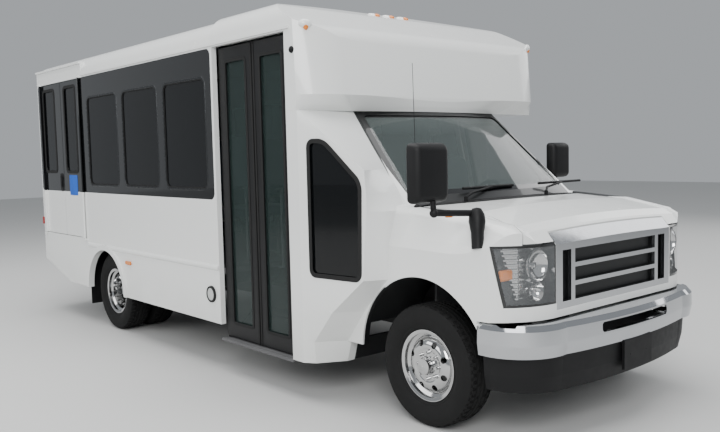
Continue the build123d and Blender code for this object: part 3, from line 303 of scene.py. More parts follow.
def bright(name, shade, rough, backed=False):
    """Polished metal with faint swirls and waviness; a backed piece is black behind its bars."""
    finish = Finish(name, Metallic=1.0)
    swirl = finish.mix(finish.noise(5.0, 3.0), shade, shades(shade, 0.88))
    polish = finish.noise(30.0, 3.0) * 0.06 + rough
    if backed:
        x, _, z = finish.place()
        back = (x < grille_face - bar_depth) * (z < grille_top)
        swirl, polish = finish.mix(back, swirl, near_black), polish * (1 - back) + back * 0.5
        finish.set("Metallic", 1 - back)
    finish.colour(swirl).rough(polish)
    return finish.bump(finish.noise(7.0, 1.0), 0.05, 0.002)


def moulded(name, shade, rough, grain=220.0, strength=0.15):
    """Moulded plastic or rubber with a fine grain."""
    finish = Finish(name, Specular_IOR_Level=0.25)
    finish.colour(finish.mix(finish.noise(6.0, 3.0), shade, shades(shade, 1.5, 0.002)))
    finish.rough(finish.noise(24.0, 3.0) * 0.18 + rough)
    return finish.bump(finish.noise(grain, 2.0), strength, 0.0006)


def metal(name, shade, rough):
    """Painted or raw chassis metal, dusty in places."""
    finish = Finish(name, Metallic=0.4)
    dust = finish.noise(8.0, 6.0)
    finish.colour(finish.mix(dust, shade, shades(shade, 0.6, 0.06)))
    finish.rough(dust * 0.3 + rough)
    return finish.bump(finish.noise(90.0, 3.0), 0.25, 0.001)


def lens(name, shade, alpha, gasket=False):
    """Lamp lens; a headlamp lens has a dark gasket round its edge."""
    finish = Finish(name, Coat_Weight=0.6, Coat_Roughness=0.01)
    tint = finish.mix(finish.noise(10.0, 1.0), shade, shades(shade, 0.85))
    seen = alpha
    if gasket:
        x, y, z = finish.place()
        ahead = x > (lamp_top - z) * lamp_rake + lamp_rear
        clear = (z < lens_high) * (z > lens_low) * (y.size() > lens_inner) * ahead
        tint = finish.mix(clear, near_black, tint)
        seen = clear * (alpha - 1.0) + 1.0
    finish.colour(tint).set("Alpha", seen)
    return finish.rough(finish.noise(40.0, 2.0) * 0.04 + 0.03)


def cloth(name, shade):
    """Woven seat cloth: a fine crossed weave under mottled colour."""
    finish = Finish(name, Sheen_Weight=0.4)
    inputs = {"Vector": finish.point(), "Scale": 320.0, "Distortion": 0.6}
    along_x, along_y, along_z = (finish.node("ShaderNodeTexWave", {"bands_direction": way}, inputs, out=1)
                                 for way in ("X", "Y", "Z"))
    weave = along_x * 0.34 + along_y * 0.33 + along_z * 0.33
    finish.colour(finish.mix(finish.noise(120.0, 2.0), shade, shades(shade, 1.7)))
    finish.rough(weave * 0.1 + 0.8)
    return finish.bump(weave, 0.4, 0.0006)


finishes = {
    "white_paint": paint("coach enamel"),
    "banded_paint": paint("coach enamel with window band", window_band, 0.06),
    # cab panels: black arch lining and windshield surround, and painted shade under the cab
    "arched_paint": paint("enamel with black arch lining", cab_black_and_shade),
    "door_paint": paint("enamel with black window frame", door_black),
    "chassis_black": metal("chassis paint", (0.022, 0.022, 0.024), 0.45),
    "tinted_glass": glazing("privacy glass", (0.003, 0.0035, 0.004), 0.92),
    "clear_glass": glazing("green tinted glass", (0.022, 0.034, 0.032), 0.50),
    "screen_glass": screen("windshield glass"),
    "grille_bright": bright("chrome bars before black", (0.60, 0.61, 0.63), 0.04, backed=True),
    "black_plastic": moulded("grained black plastic", (0.005, 0.005, 0.0055), 0.42),
    "seal": moulded("rubber seal", (0.010, 0.010, 0.010), 0.6),
    "bright": bright("chrome", (0.56, 0.57, 0.59), 0.035),
    "satin": bright("anodised frame", (0.30, 0.31, 0.32), 0.28),
    "dark_satin": bright("dark anodised frame", (0.070, 0.073, 0.076), 0.24),
    "wheel_bright": bright("wheel simulator steel", (0.60, 0.60, 0.60), 0.07),
    "tyre": moulded("tyre rubber", (0.007, 0.007, 0.007), 0.72, 300.0, 0.3),
    "lamp": lens("clear lamp lens", (0.75, 0.78, 0.80), 0.14, gasket=True),
    "lamp_face": lens("pale lamp lens", (0.55, 0.56, 0.55), 1.0),
    "mirror_glass": bright("mirror glass", (0.70, 0.73, 0.76), 0.01),
    "red_lamp": lens("red lens", (0.42, 0.012, 0.010), 0.95),
    "amber": lens("amber lens", (0.85, 0.24, 0.02), 0.95),
    "seat_fabric": cloth("seat cloth", (0.030, 0.036, 0.055)),
    "grey_floor": moulded("ribbed floor rubber", (0.09, 0.09, 0.092), 0.6, 80.0, 0.4),
    "dark_frame": moulded("black anodised frame", (0.006, 0.006, 0.0065), 0.32),
    "steel": metal("exhaust steel", (0.30, 0.29, 0.28), 0.35),
    "iron": metal("cast iron", (0.07, 0.065, 0.06), 0.55),
    "blue_sign": moulded("blue sign", (0.010, 0.085, 0.42), 0.3, 60.0, 0.02),
}

# the record's slot for each finish that the pieces below carry
slot_for = {name: name for name in finishes}
slot_for.update({"satin": "steel", "dark_satin": "steel", "seal": "black_plastic", "amber": "lamp",
                 "wheel_bright": "bright", "blue_sign": "black_plastic", "mirror_glass": "bright",
                 "lamp_face": "lamp"})

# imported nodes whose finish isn't that of their slot
finish_for = {"driver_door": "door_paint", "windshield": "screen_glass", "grille": "grille_bright"}
for finish, names in (
        ("banded_paint", ("right_wall", "left_wall", "lift_surround", "lift_rear_leaf", "lift_front_leaf")),
        ("arched_paint", ("fender_left", "fender_right", "cab_shell", "transition_panel")),
        ("wheel_bright", ("front_rim_left", "front_rim_right", "rear_rims_left", "rear_rims_right"))):
    finish_for.update({name: finish for name in names})


def dress_frame():
    """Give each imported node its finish."""
    for entry in frame["record"]["subparts"]:
        name = entry["node"]
        materials = nodes[name].data.materials
        materials.clear()
        materials.append(finishes[finish_for.get(name, entry["material_slot"])].material)


# ---------------------------------------------------------------- making pieces
def piece(name, bm, body, finish, instead_of=(), bevel=0.0, smooth=35):
    """Turn a bmesh into an object that rides on a body."""
    bmesh.ops.remove_doubles(bm, verts=bm.verts, dist=1e-6)
    bmesh.ops.recalc_face_normals(bm, faces=bm.faces)
    mesh = bpy.data.meshes.new(name)
    bm.to_mesh(mesh)
    bm.free()
    made = bpy.data.objects.new(name, mesh)
    bpy.context.scene.collection.objects.link(made)
    mesh.materials.append(finishes[finish].material)
    if bevel:
        edge = made.modifiers.new("edge", "BEVEL")
        edge.width, edge.segments, edge.limit_method = bevel, 2, "ANGLE"
    mesh.shade_smooth()
    mesh.set_sharp_from_angle(angle=radians(smooth))
    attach(made, body)
    if instead_of:
        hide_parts(*instead_of)
    return made


def facing(origin, outward, up=(0, 0, 1)):
    """Placing matrix with local Z outward and local Y as near to up as it can be."""
    z = Vector(outward).normalized()
    x = Vector(up).cross(z).normalized()
    return Matrix.Translation(origin) @ Matrix((x, z.cross(x), z)).transposed().to_4x4()


def on_side(side, x, z, sunk=0.0):
    """Placing matrix on a coach side, -1 right or 1 left, sunk below its skin."""
    return facing((x, side * (side_y - sunk), z), (0, side, 0))


def outline(bm, points, corner, depth, ring=0.0):
    """Flat outline with rounded corners, thickened outwards from its winding, or a frame with ring."""
    before = set(bm.faces)
    verts = [bm.verts.new(point) for point in points]
    face = bm.faces.new(verts)
    face.normal_update()
    outward = face.normal * depth
    if corner:
        bmesh.ops.bevel(bm, geom=verts, offset=corner, affect="VERTICES", segments=6, profile=0.5,
                        material=-1)
    faces = [face for face in bm.faces if face not in before]
    if ring:
        rim = bmesh.ops.inset_region(bm, faces=faces, thickness=ring, use_boundary=True,
                                     use_even_offset=True)["faces"]
        bmesh.ops.delete(bm, geom=faces, context="FACES")
        faces = rim
    grown = bmesh.ops.extrude_face_region(bm, geom=faces)["geom"]
    bmesh.ops.translate(bm, vec=outward, verts=[g for g in grown if isinstance(g, bmesh.types.BMVert)])


def plate(bm, place, width, height, corner, depth, ring=0.0):
    """Rounded plate standing out of its placing plane, or with ring a frame of that width."""
    corners = [(-1, -1), (1, -1), (1, 1), (-1, 1)]
    points = [place @ Vector((across * width / 2, up * height / 2, 0)) for across, up in corners]
    outline(bm, points, corner, depth, ring)


def dome(bm, centre, size, turn=None):
    """Whole ellipsoid of a given half size; what lies below a panel's skin is hidden by it."""
    place = Matrix.Translation(centre) @ (turn or Matrix.Identity(4)) @ Matrix.Diagonal((*size, 1))
    bmesh.ops.create_uvsphere(bm, u_segments=24, v_segments=12, radius=1.0, matrix=place)


def skin(node, x, y, z, way):
    """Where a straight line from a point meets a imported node."""
    hit, spot, normal, _ = nodes[node].ray_cast(Vector((x, y, z)), Vector(way))
    return (spot, normal) if hit else (Vector((x, y, z)), -Vector(way))


def block(bm, low, high):
    low, high = Vector(low), Vector(high)
    bmesh.ops.create_cube(bm, size=1.0, matrix=Matrix.Translation((low + high) / 2)
                          @ Matrix.Diagonal((*(high - low), 1)))


def bar(bm, start, end, radius, tip=None, sides=16):
    """Round bar or taper between two points."""
    start, end = Vector(start), Vector(end)
    line = end - start
    place = Matrix.Translation((start + end) / 2) @ line.to_track_quat("Z", "Y").to_matrix().to_4x4()
    bmesh.ops.create_cone(bm, cap_ends=True, segments=sides, radius1=radius,
                          radius2=radius if tip is None else tip, depth=line.length, matrix=place)


def turned(bm, place, section, steps=40):
    """Spin a section of (radius, height) round local Z of the placing matrix."""
    verts = [bm.verts.new(place @ Vector((radius, 0, height))) for radius, height in section]
    edges = [bm.edges.new(pair) for pair in zip(verts, verts[1:])]
    axis = place.to_3x3() @ Vector((0, 0, 1))
    bmesh.ops.spin(bm, geom=verts + edges, cent=place.translation, axis=axis, angle=2 * pi,
                   steps=steps, use_merge=True)


# ---------------------------------------------------------------- glazing trim
def window_spans(count, extra=()):
    """Middle and width of each window of a side."""
    spans = [(first_window - i * window_pitch - window_width / 2, window_width) for i in range(count)]
    return spans + [((rear + front) / 2, front - rear) for rear, front in extra]


def window_trim():
    """Slim anodised frames in the side windows, with a rubber in each."""
    height, middle = window_high - window_low, (window_low + window_high) / 2
    for name, side, spans in (("right", -1, window_spans(right_windows)),
                              ("left", 1, window_spans(left_windows, small_left_windows))):
        frames, seals = bmesh.new(), bmesh.new()
        for x, width in spans:
            plate(frames, on_side(side, x, middle, frame_sunk), width, height, window_corner, frame_depth,
                  ring=frame_width)
            plate(seals, on_side(side, x, middle, frame_sunk + 0.001), width - 2 * pane_rubber_inset,
                  height - 2 * pane_rubber_inset, window_corner - pane_rubber_inset, rubber_depth,
                  ring=pane_rubber_width)
        piece(f"window_frames_{name}", frames, "chassis", "dark_satin", bevel=0.002)
        piece(f"window_rubbers_{name}", seals, "chassis", "seal")


def lift_window_trim():
    """Wide rubber on each lift leaf, half on the pane and half on the leaf."""
    height = lift_window_high - lift_window_low + wide_rubber
    for body, (rear, front) in lift_windows.items():
        seals = bmesh.new()
        place = on_side(-1, (rear + front) / 2, (lift_window_low + lift_window_high) / 2, 0.002)
        plate(seals, place, front - rear + wide_rubber, height, wide_rubber_corner, rubber_depth,
              ring=wide_rubber)
        piece(f"{body}_window_rubber", seals, body, "seal", bevel=0.002)


# ---------------------------------------------------------------- wheels
def tyre_section():
    """Whole section: wall and shoulder, the ribs and grooves, and the other wall."""
    half = list(tyre_wall)
    for place in groove_places:
        outer, inner = place + groove_half, place - groove_half
        half += [(tread_radius, outer + groove_lip), (tread_radius - groove_depth, outer - groove_floor),
                 (tread_radius - groove_depth, inner + groove_floor), (tread_radius, inner - groove_lip)]
    return half + [(radius, -offset) for radius, offset in reversed(half)] + half[:1]


def tyre(bm, x, y, z):
    """Radial tyre: ribbed tread with notched shoulders."""
    before = set(bm.faces)
    turned(bm, facing((x, y, z), (0, 1, 0)), tyre_section(), steps=2 * tread_pitches)
    bmesh.ops.remove_doubles(bm, verts=bm.verts, dist=1e-5)
    centre, pitch = Vector((x, y, z)), pi / tread_pitches
    cut = []
    for face in bm.faces:
        if face in before:
            continue
        spot = face.calc_center_median() - centre
        radius, offset = (spot.x ** 2 + spot.z ** 2) ** 0.5, abs(spot.y)
        sector = int((atan2(spot.z, spot.x) + pi) / pitch + (0 if spot.y > 0 else 0.5))
        on_shoulder = radius > shoulder_radius and shoulder_span[0] < offset < shoulder_span[1]
        on_rib = radius > rib_radius and rib_span[0] < offset < rib_span[1]
        if (on_shoulder and sector % 2 == 0) or (on_rib and sector % 4 == 1):
            cut.append(face)
    bmesh.ops.recalc_face_normals(bm, faces=bm.faces)
    for face in bmesh.ops.extrude_discrete_faces(bm, faces=cut)["faces"]:
        middle = face.calc_center_median()
        inward = Vector((centre.x - middle.x, 0, centre.z - middle.z)).normalized() * notch_depth
        bmesh.ops.scale(bm, vec=notch_taper, space=Matrix.Translation(-middle), verts=face.verts)
        bmesh.ops.translate(bm, vec=inward, verts=face.verts)


def tyres():
    """Front tyres and the rear pairs, in place of the plain packed ones."""
    for name, side in (("left", 1), ("right", -1)):
        front, rear = bmesh.new(), bmesh.new()
        tyre(front, axle_x, side * front_wheel_y, wheel_z)
        piece(f"road_tyre_front_{name}", front, f"front_wheel_{name}", "tyre",
              instead_of=(f"front_tyre_{name}",), smooth=28)
        low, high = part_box(f"rear_tyres_{name}")
        for y in (low.y + tyre_half, high.y - tyre_half):
            tyre(rear, rear_axle_x, y, wheel_z)
        piece(f"road_tyres_rear_{name}", rear, f"rear_wheels_{name}", "tyre",
              instead_of=(f"rear_tyres_{name}",), smooth=28)


# ---------------------------------------------------------------- cab
def flare_trim():
    """Rubber round the window of the flare beside the windshield."""
    seals = bmesh.new()
    points = [Vector((at(x), -(side_y - flare_slope * (x - flare_rear)) + 0.001, z)) for x, z in flare_window]
    outline(seals, points, wide_rubber_corner, rubber_depth, ring=wide_rubber)
    piece("flare_window_rubber", seals, "chassis", "seal", bevel=0.002)


housing_plan = [(0.588, 0.640), (0.560, 0.800), (0.480, 0.925)]
housing_low, housing_high, housing_wall = 0.806, 1.112, 0.004
lamp_ribs, first_rib, rib_pitch, rib_height, rib_proud = 11, 0.818, 0.027, 0.012, 0.012
bowl_x, bowl_y, bowls_at = 0.640, 0.722, ((1.006, 0.090), (0.862, 0.052))
bulb_radius = 0.012
signal_rear, signal_front, signal_y, signal_half = 0.508, 0.556, 0.880, 0.052
signal_low, signal_high = 0.930, 0.992


def lamp_wall(bm, side, start, end, low, high, proud, depth):
    """Upright strip of a lamp housing between two plan points."""
    (x0, y0), (x1, y1) = start, end
    ring = [(x0, y0, low), (x1, y1, low), (x1, y1, high), (x0, y0, high)]
    points = [Vector((at(x + proud), side * y, z)) for x, y, z in ring]
    outline(bm, points[::side], 0, depth)


def bowl_section(radius):
    """Reflector bowl with its bulb cover, as (radius, height)."""
    return [(radius, 0.0), (radius * 0.94, -0.016), (radius * 0.74, -0.034), (radius * 0.40, -0.048),
            (bulb_radius, -0.052), (bulb_radius, -0.020), (0.0, -0.016)]


def headlamps():
    """Ribbed housing, reflector bowls and turn signal block behind each clear lens."""
    housing, bowls, signals = bmesh.new(), bmesh.new(), bmesh.new()
    for side in (-1, 1):
        for start, end in zip(housing_plan, housing_plan[1:]):
            lamp_wall(housing, side, start, end, housing_low, housing_high, 0.0, housing_wall)
            for step in range(lamp_ribs):
                z = first_rib + step * rib_pitch
                lamp_wall(housing, side, start, end, z, z + rib_height, 0.002, rib_proud)
        for z, radius in bowls_at:
            turned(bowls, facing((at(bowl_x), side * bowl_y, z), (1, 0, 0)), bowl_section(radius))
        block(signals, (at(signal_rear), side * signal_y - signal_half, signal_low),
              (at(signal_front), side * signal_y + signal_half, signal_high))
    piece("lamp_housings", housing, "chassis", "wheel_bright", bevel=0.002)
    piece("lamp_bowls", bowls, "chassis", "wheel_bright")
    piece("turn_signal_blocks", signals, "chassis", "amber", bevel=0.012)


def mirror_shape(bm, glass, centre, size):
    """Moulded head, narrower in front, with a tall glass and a wide-angle glass facing the tail."""
    place = Matrix.Translation(centre) @ Matrix.Diagonal((*size, 1))
    cube = bmesh.ops.create_cube(bm, size=1.0, matrix=place)["verts"]
    ahead = [v for v in cube if v.co.x > centre[0]]
    bmesh.ops.scale(bm, vec=(1, 0.84, 0.88), space=Matrix.Translation(-Vector(centre)), verts=ahead)
    edges = list({edge for v in cube for edge in v.link_edges})
    bmesh.ops.bevel(bm, geom=edges, offset=0.032, affect="EDGES", segments=5, profile=0.5, material=-1)
    depth, width, height = size
    back = centre[0] - depth / 2 - 0.0005
    for rise, wide, tall, corner in ((0.10, 0.76, 0.58, 0.022), (-0.33, 0.70, 0.18, 0.018)):
        place = facing((back, centre[1], centre[2] + height * rise), (-1, 0, 0))
        plate(glass, place, width * wide, height * tall, corner, 0.003)


right_mirror_at, right_mirror_size = (0.300, -1.2175, 1.5305), (0.088, 0.283, 0.337)
post_foot, post_lean = (0.4375, -0.985, 1.110), (-0.16, 0.16, 0.97)
post_section = [(0.0, 0.0), (0.034, 0.0), (0.036, 0.09), (0.047, 0.15), (0.043, 0.19), (0.026, 0.222),
                (0.0, 0.230)]
arm_ends, arm_radius = ((0.398, -0.945, 1.302), (0.330, -1.215, 1.316)), 0.018
stem_ends, stem_radius = ((0.322, -1.207, 1.302), (0.318, -1.207, 1.380)), 0.016
arm_knuckles, knuckle_radius = ((0.396, -0.943, 1.300), (0.330, -1.213, 1.315)), 0.024
left_mirror_at, left_mirror_size = (-0.600, 1.235, 1.550), (0.088, 0.248, 0.298)
door_arm_ends, door_arm_radius = ((-0.480, 1.000, 1.267), (-0.592, 1.180, 1.420)), 0.015
door_foot, door_foot_size = (-0.480, 0.996, 1.270), (0.030, 0.018, 0.030)
arm_lamp_at, arm_lamp_way = (0.347, -1.120, 1.296), (1, -0.2, 0)
arm_lamp_width, arm_lamp_height, arm_lamp_corner, arm_lamp_depth = 0.044, 0.016, 0.006, 0.012


def right_mirror():
    """Mirror on its arm and the tapered post on the fender, with a small amber lamp."""
    head, glass, lamp = bmesh.new(), bmesh.new(), bmesh.new()
    mirror_shape(head, glass, placed(right_mirror_at), right_mirror_size)
    turned(head, facing(placed(post_foot), post_lean), post_section, steps=24)
    bar(head, placed(arm_ends[0]), placed(arm_ends[1]), arm_radius)
    bar(head, placed(stem_ends[0]), placed(stem_ends[1]), stem_radius)
    for spot in arm_knuckles:
        dome(head, placed(spot), (knuckle_radius, knuckle_radius, knuckle_radius))
    plate(lamp, facing(placed(arm_lamp_at), arm_lamp_way), arm_lamp_width, arm_lamp_height,
          arm_lamp_corner, arm_lamp_depth)
    piece("right_mirror_body", head, "chassis", "black_plastic", instead_of=("mirror_right",), smooth=40)
    piece("right_mirror_glass", glass, "chassis", "mirror_glass")
    piece("right_mirror_lamp", lamp, "chassis", "amber")


def left_mirror():
    """Mirror on a short arm from the driver's door."""
    head, glass = bmesh.new(), bmesh.new()
    mirror_shape(head, glass, placed(left_mirror_at), left_mirror_size)
    bar(head, placed(door_arm_ends[0]), placed(door_arm_ends[1]), door_arm_radius)
    dome(head, placed(door_foot), door_foot_size)
    piece("left_mirror_body", head, "driver_side", "black_plastic", instead_of=("mirror_left",), smooth=40)
    piece("left_mirror_glass", glass, "driver_side", "mirror_glass")


clearance_lens = (0.020, 0.030, 0.014)
crown_lamp_x, crown_lamps_y, crown_fairing = -1.300, (-0.150, 0.0, 0.150), (0.030, 0.060, 0.016)
crown_ahead, crown_drop = 0.040, 0.006
corner_x, corner_y, corner_z, corner_fairing = -0.500, 1.341, 2.600, (0.045, 0.030, 0.020)
corner_ahead, corner_drop = 0.006, 0.012
above_roof, down = 3.0, (0, 0, -1)


def cap_lamps():
    """Clearance lamps on the cap in small fairings: three on its crown and one near each corner."""
    fairings, lenses = bmesh.new(), bmesh.new()
    for y in crown_lamps_y:
        spot, normal = skin("roof_cap", at(crown_lamp_x), y, above_roof, down)
        turn = facing((0, 0, 0), normal, (1, 0, 0))
        dome(fairings, spot, crown_fairing, turn)
        dome(lenses, spot + Vector((crown_ahead, 0, -crown_drop)), clearance_lens, turn)
    for side in (-1, 1):
        spot, normal = skin("roof_cap", at(corner_x), side * corner_y, corner_z, (-0.87, -side * 0.48, -0.30))
        turn = facing((0, 0, 0), normal)
        dome(fairings, spot, corner_fairing, turn)
        dome(lenses, spot + Vector((corner_ahead, 0, -corner_drop)), clearance_lens, turn)
    piece("clearance_fairings", fairings, "chassis", "white_paint")
    piece("clearance_lenses", lenses, "chassis", "amber")


aerial_x, aerial_y, aerial_reach = -0.120, -0.890, (-0.02, 0, 0.86)
aerial_radius, aerial_tip, aerial_foot = 0.0024, 0.0016, (0.020, 0.020, 0.016)


def aerial():
    """Thin rod aerial and its foot on the right fender, beside the cowl."""
    foot, _ = skin("fender_right", at(aerial_x), aerial_y, above_roof, down)
    rod = bmesh.new()
    bar(rod, foot, foot + Vector(aerial_reach), aerial_radius, aerial_tip, sides=8)
    dome(rod, foot, aerial_foot)
    piece("aerial", rod, "chassis", "black_plastic")


# ---------------------------------------------------------------- coach sides
seated = 0.001
blue_plate_at, blue_plate_size, blue_plate_depth = (-4.716, 1.386), 0.205, 0.003
handle_x, handle_z, grip_z, handle_base, handle_grip = -5.030, 1.412, 1.420, (0.070, 0.185), (0.034, 0.120)
base_depth, grip_depth = 0.006, 0.010


def lift_door_trim():
    """Bare blue plate on the front lift leaf and the handle of the rear one."""
    blue, handle = bmesh.new(), bmesh.new()
    x, z = blue_plate_at
    plate(blue, on_side(-1, at(x), z, seated), blue_plate_size, blue_plate_size, 0.012, blue_plate_depth)
    piece("blue_plate", blue, "lift_front", "blue_sign")
    plate(handle, on_side(-1, at(handle_x), handle_z, seated), *handle_base, 0.016, base_depth)
    grip_at = on_side(-1, at(handle_x), grip_z, 2 * seated - base_depth)
    plate(handle, grip_at, *handle_grip, 0.012, grip_depth)
    piece("lift_handle", handle, "lift_rear", "black_plastic", bevel=0.002)


red_marker_at, red_marker = (-5.630, 0.985), (0.030, 0.080)
amber_marker_at, amber_marker = (-3.496, 0.700), (0.110, 0.034)
marker_depth, skirt_lamp_at = 0.014, (-2.032, 0.593)
skirt_ring = [(0.0, 0.010), (0.050, 0.010), (0.050, 0.016), (0.062, 0.014), (0.064, 0.0), (0.0, 0.0)]
skirt_lens = [(0.0, 0.020), (0.030, 0.018), (0.048, 0.0125), (0.048, 0.004), (0.0, 0.004)]


def side_lamps():
    """Red and amber side markers and the round lamp in each skirt, alike on both sides."""
    red, amber, rings, lenses = (bmesh.new() for _ in range(4))
    for side in (-1, 1):
        red_at, amber_at, skirt_at = (on_side(side, at(x), z)
                                      for x, z in (red_marker_at, amber_marker_at, skirt_lamp_at))
        plate(red, red_at, *red_marker, 0.010, marker_depth)
        plate(amber, amber_at, *amber_marker, 0.012, marker_depth)
        turned(rings, skirt_at, skirt_ring)
        turned(lenses, skirt_at, skirt_lens)
    piece("rear_side_markers", red, "chassis", "red_lamp", bevel=0.003)
    piece("side_markers", amber, "chassis", "amber", bevel=0.003)
    piece("skirt_lamp_rings", rings, "chassis", "seal")
    piece("skirt_lamp_lenses", lenses, "chassis", "lamp_face")


cap_dome_x, cap_dome_z, cap_dome_size = -0.905, 2.319, (0.023, 0.018, 0.023)


def cap_dome():
    """Small black dome beside the entrance, under the cap."""
    small = bmesh.new()
    dome(small, (at(cap_dome_x), -side_y, cap_dome_z), cap_dome_size)
    piece("cap_dome", small, "chassis", "black_plastic")


pane_seal, pane_seal_lap, pane_seal_depth = 0.022, 0.034, 0.004
edge_seal, edge_seal_in, edge_seal_depth = 0.018, 0.012, 0.005
grab_low, grab_high, grab_radius, grab_reach = 0.86, 1.42, 0.010, 0.024
grab_foot_radius, grab_foot_in = 0.007, 0.012


def entrance_trim():
    """Rubbers down the free edges of the entrance leaves and round their panes, and a grab rail on each."""
    for name, side in (("rear", -1), ("front", 1)):
        low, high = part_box(f"entrance_{name}_leaf")
        pane_low, pane_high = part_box(f"entrance_{name}_glass")
        middle = (pane_low.x + pane_high.x) / 2
        seals, rail = bmesh.new(), bmesh.new()
        place = facing((middle, low.y + 0.0005, (pane_low.z + pane_high.z) / 2), (0, -1, 0))
        plate(seals, place, pane_high.x - pane_low.x + pane_seal_lap,
              pane_high.z - pane_low.z + pane_seal_lap, pane_seal_lap, pane_seal_depth, ring=pane_seal)
        free_edge = (high.x if side < 0 else low.x) + side * edge_seal_in
        place = facing((free_edge, low.y + seated, (low.z + high.z) / 2), (0, -1, 0))
        plate(seals, place, edge_seal, high.z - low.z - 0.02, 0, edge_seal_depth)
        piece(f"entrance_{name}_rubbers", seals, f"entrance_{name}", "seal", bevel=0.0015)
        inner = high.y + grab_reach
        bar(rail, (middle, inner, grab_low), (middle, inner, grab_high), grab_radius)
        for z in (grab_low + grab_radius, grab_high - grab_radius):
            bar(rail, (middle, inner, z), (middle, high.y - grab_foot_in, z), grab_foot_radius)
        piece(f"entrance_{name}_rail", rail, f"entrance_{name}", "satin")


# ---------------------------------------------------------------- seats
left_rows, right_rows, row_pitch = (-1.720, 4, 0.290, 1.130), (-2.180, 3, -1.130, -0.290), 0.790
cushion_x, cushion_z, cushion_size = 0.215, 1.182, (0.428, 0.108)
backrest_x, backrest_z, backrest_size = 0.434, 1.512, (0.620, 0.086)
lean = Matrix.Rotation(-0.157, 4, "Y")
upright = Matrix.Rotation(pi / 2, 4, "Y")
pad_gap, pad_crown = 0.006, 0.24
leg_inset, leg_xs, leg_foot, leg_top, leg_radius = 0.120, (0.320, 0.105), 0.001, 1.140, 0.014
rail_rear, rail_front, rail_low, rail_high, rail_radius = 0.330, 0.095, 0.014, 1.138, 0.012
driver_y = 0.580
driver_cushion, driver_cushion_size = (-0.970, 0.962), (0.490, 0.490, 0.116)
driver_back, driver_back_size = (-1.210, 1.302), (0.590, 0.480, 0.098)
headrest, headrest_size = (-1.264, 1.690), (0.180, 0.250, 0.068)
pedestal_low, pedestal_high = (-1.150, 0.420, 0.626), (-0.790, 0.740, 0.905)


def pad(bm, place, size):
    """Stuffed pad: a block with swollen faces and tucked edges."""
    stuffed = bmesh.new()
    bmesh.ops.create_cube(stuffed, size=1.0)
    bmesh.ops.subdivide_edges(stuffed, edges=stuffed.edges[:], cuts=4, use_grid_fill=True)
    for v in stuffed.verts:
        x, y, z = v.co
        swell = (1 - (2 * x) ** 4) * (1 - (2 * y) ** 4)
        tuck = 1 - 0.10 * (abs(2 * z) ** 3)
        v.co = (x * tuck, y * tuck, z * (0.78 + pad_crown * swell))
    bmesh.ops.transform(stuffed, matrix=place @ Matrix.Diagonal((*size, 1)), verts=stuffed.verts[:])
    held = bpy.data.meshes.new("pad")
    stuffed.to_mesh(held)
    stuffed.free()
    bm.from_mesh(held)
    bpy.data.meshes.remove(held)


def bench(pads, legs, front, y0, y1):
    """Two-place bench: two cushions and two leaning backs on a pair of steel legs."""
    width = (y1 - y0) / 2 - pad_gap
    for y in (y0 + (y1 - y0) * 0.25, y0 + (y1 - y0) * 0.75):
        seat_at = Matrix.Translation((at(front - cushion_x), y, cushion_z))
        back_at = Matrix.Translation((at(front - backrest_x), y, backrest_z)) @ lean @ upright
        pad(pads, seat_at, (cushion_size[0], width, cushion_size[1]))
        pad(pads, back_at, (backrest_size[0], width, backrest_size[1]))
    for y in (y0 + leg_inset, y1 - leg_inset):
        for behind in leg_xs:
            x = at(front - behind)
            bar(legs, (x, y, floor_top + leg_foot), (x, y, leg_top), leg_radius)
        for z in (floor_top + rail_low, rail_high):
            bar(legs, (at(front - rail_rear), y, z), (at(front - rail_front), y, z), rail_radius)


def driver_seat(pads, legs):
    """Cushion, backrest and headrest on a pedestal."""
    for (x, z), size, turn in ((driver_cushion, driver_cushion_size, Matrix.Identity(4)),
                               (driver_back, driver_back_size, lean @ upright),
                               (headrest, headrest_size, upright)):
        pad(pads, Matrix.Translation((at(x), driver_y, z)) @ turn, size)
    block(legs, placed(pedestal_low), placed(pedestal_high))


def seats():
    """Four benches on the left, three on the right and the driver's seat, in place of the plain ones."""
    pads, legs = bmesh.new(), bmesh.new()
    for first, count, y0, y1 in (left_rows, right_rows):
        for row in range(count):
            bench(pads, legs, first - row_pitch * row, y0, y1)
    driver_seat(pads, legs)
    cushions = piece("seat_pads", pads, "chassis", "seat_fabric", instead_of=("seats",), smooth=80)
    soft = cushions.modifiers.new("soft", "SUBSURF")
    soft.levels = soft.render_levels = 1
    piece("seat_legs", legs, "chassis", "steel")


# ---------------------------------------------------------------- camera and room
camera_at = (axle_x + 3.2570, -4.2547, 1.6481)
camera_yaw, camera_pitch, camera_roll = radians(139.274), radians(-4.594), radians(-1.336)
camera_focal, camera_film = 39.415, 36.0


def show(name, data, matrix=None):
    """Put an object made of the data into the scene."""
    made = bpy.data.objects.new(name, data)
    if matrix is not None:
        made.matrix_world = matrix
    bpy.context.scene.collection.objects.link(made)
    return made


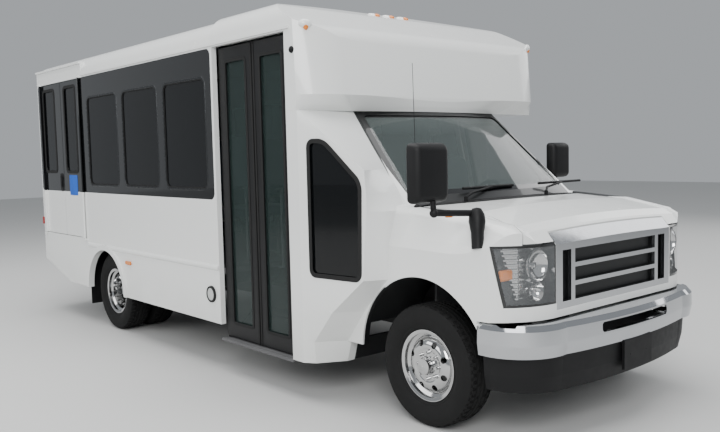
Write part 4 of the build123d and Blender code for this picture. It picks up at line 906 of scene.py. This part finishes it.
def camera():
    """Camera off the right front corner, at standing height."""
    view = bpy.data.cameras.new("camera")
    view.lens, view.sensor_width = camera_focal, camera_film
    level_out = cos(camera_pitch)
    ahead = Vector((level_out * cos(camera_yaw), level_out * sin(camera_yaw), sin(camera_pitch)))
    level = Vector((sin(camera_yaw), -cos(camera_yaw), 0))
    upright = level.cross(ahead)
    across = level * cos(camera_roll) + upright * sin(camera_roll)
    upright = upright * cos(camera_roll) - level * sin(camera_roll)
    turn = Matrix((across, upright, -ahead)).transposed().to_4x4()
    bpy.context.scene.camera = show("camera", view, Matrix.Translation(camera_at) @ turn)


def softbox(name, place, target, width, height, power):
    """Broad lamp at a place, aimed at a target."""
    lamp = bpy.data.lights.new(name, "AREA")
    lamp.shape, lamp.size, lamp.size_y, lamp.energy = "RECTANGLE", width, height, power
    aim = (Vector(target) - Vector(place)).to_track_quat("-Z", "Y").to_matrix().to_4x4()
    show(name, lamp, Matrix.Translation(place) @ aim)


def room():
    """Plain pale floor and air, one broad overhead light, a key from the front and fills."""
    bm = bmesh.new()
    below = Matrix.Translation((0, 0, -0.001))
    bmesh.ops.create_grid(bm, x_segments=1, y_segments=1, size=30.0, matrix=below)
    mesh = bpy.data.meshes.new("floor_plane")
    bm.to_mesh(mesh)
    bm.free()
    mesh.materials.append(Finish("pale floor", Base_Color=(0.62, 0.62, 0.61), Roughness=0.85).material)
    show("floor_plane", mesh)
    softbox("overhead", (0, -1.0, 9.0), (0, 0, 0), 12, 8, 1100)
    softbox("key", (9.5, -8.0, 6.5), (0.5, -0.5, 1.2), 5, 5, 850)
    softbox("side fill", (-3.0, -11.0, 5.0), (-0.5, 0, 1.3), 9, 5, 380)
    softbox("far fill", (2.0, 11.0, 6.0), (0, 0, 1.3), 9, 5, 300)
    world = bpy.data.worlds.new("room")
    bpy.context.scene.world = world
    world.use_nodes = True
    air = world.node_tree.nodes["Background"]
    air.inputs["Color"].default_value = (0.80, 0.84, 0.88, 1)
    air.inputs["Strength"].default_value = 0.50


camera()
room()
dress_frame()
window_trim()
lift_window_trim()
tyres()
flare_trim()
headlamps()
right_mirror()
left_mirror()
cap_lamps()
aerial()
lift_door_trim()
side_lamps()
cap_dome()
entrance_trim()
seats()
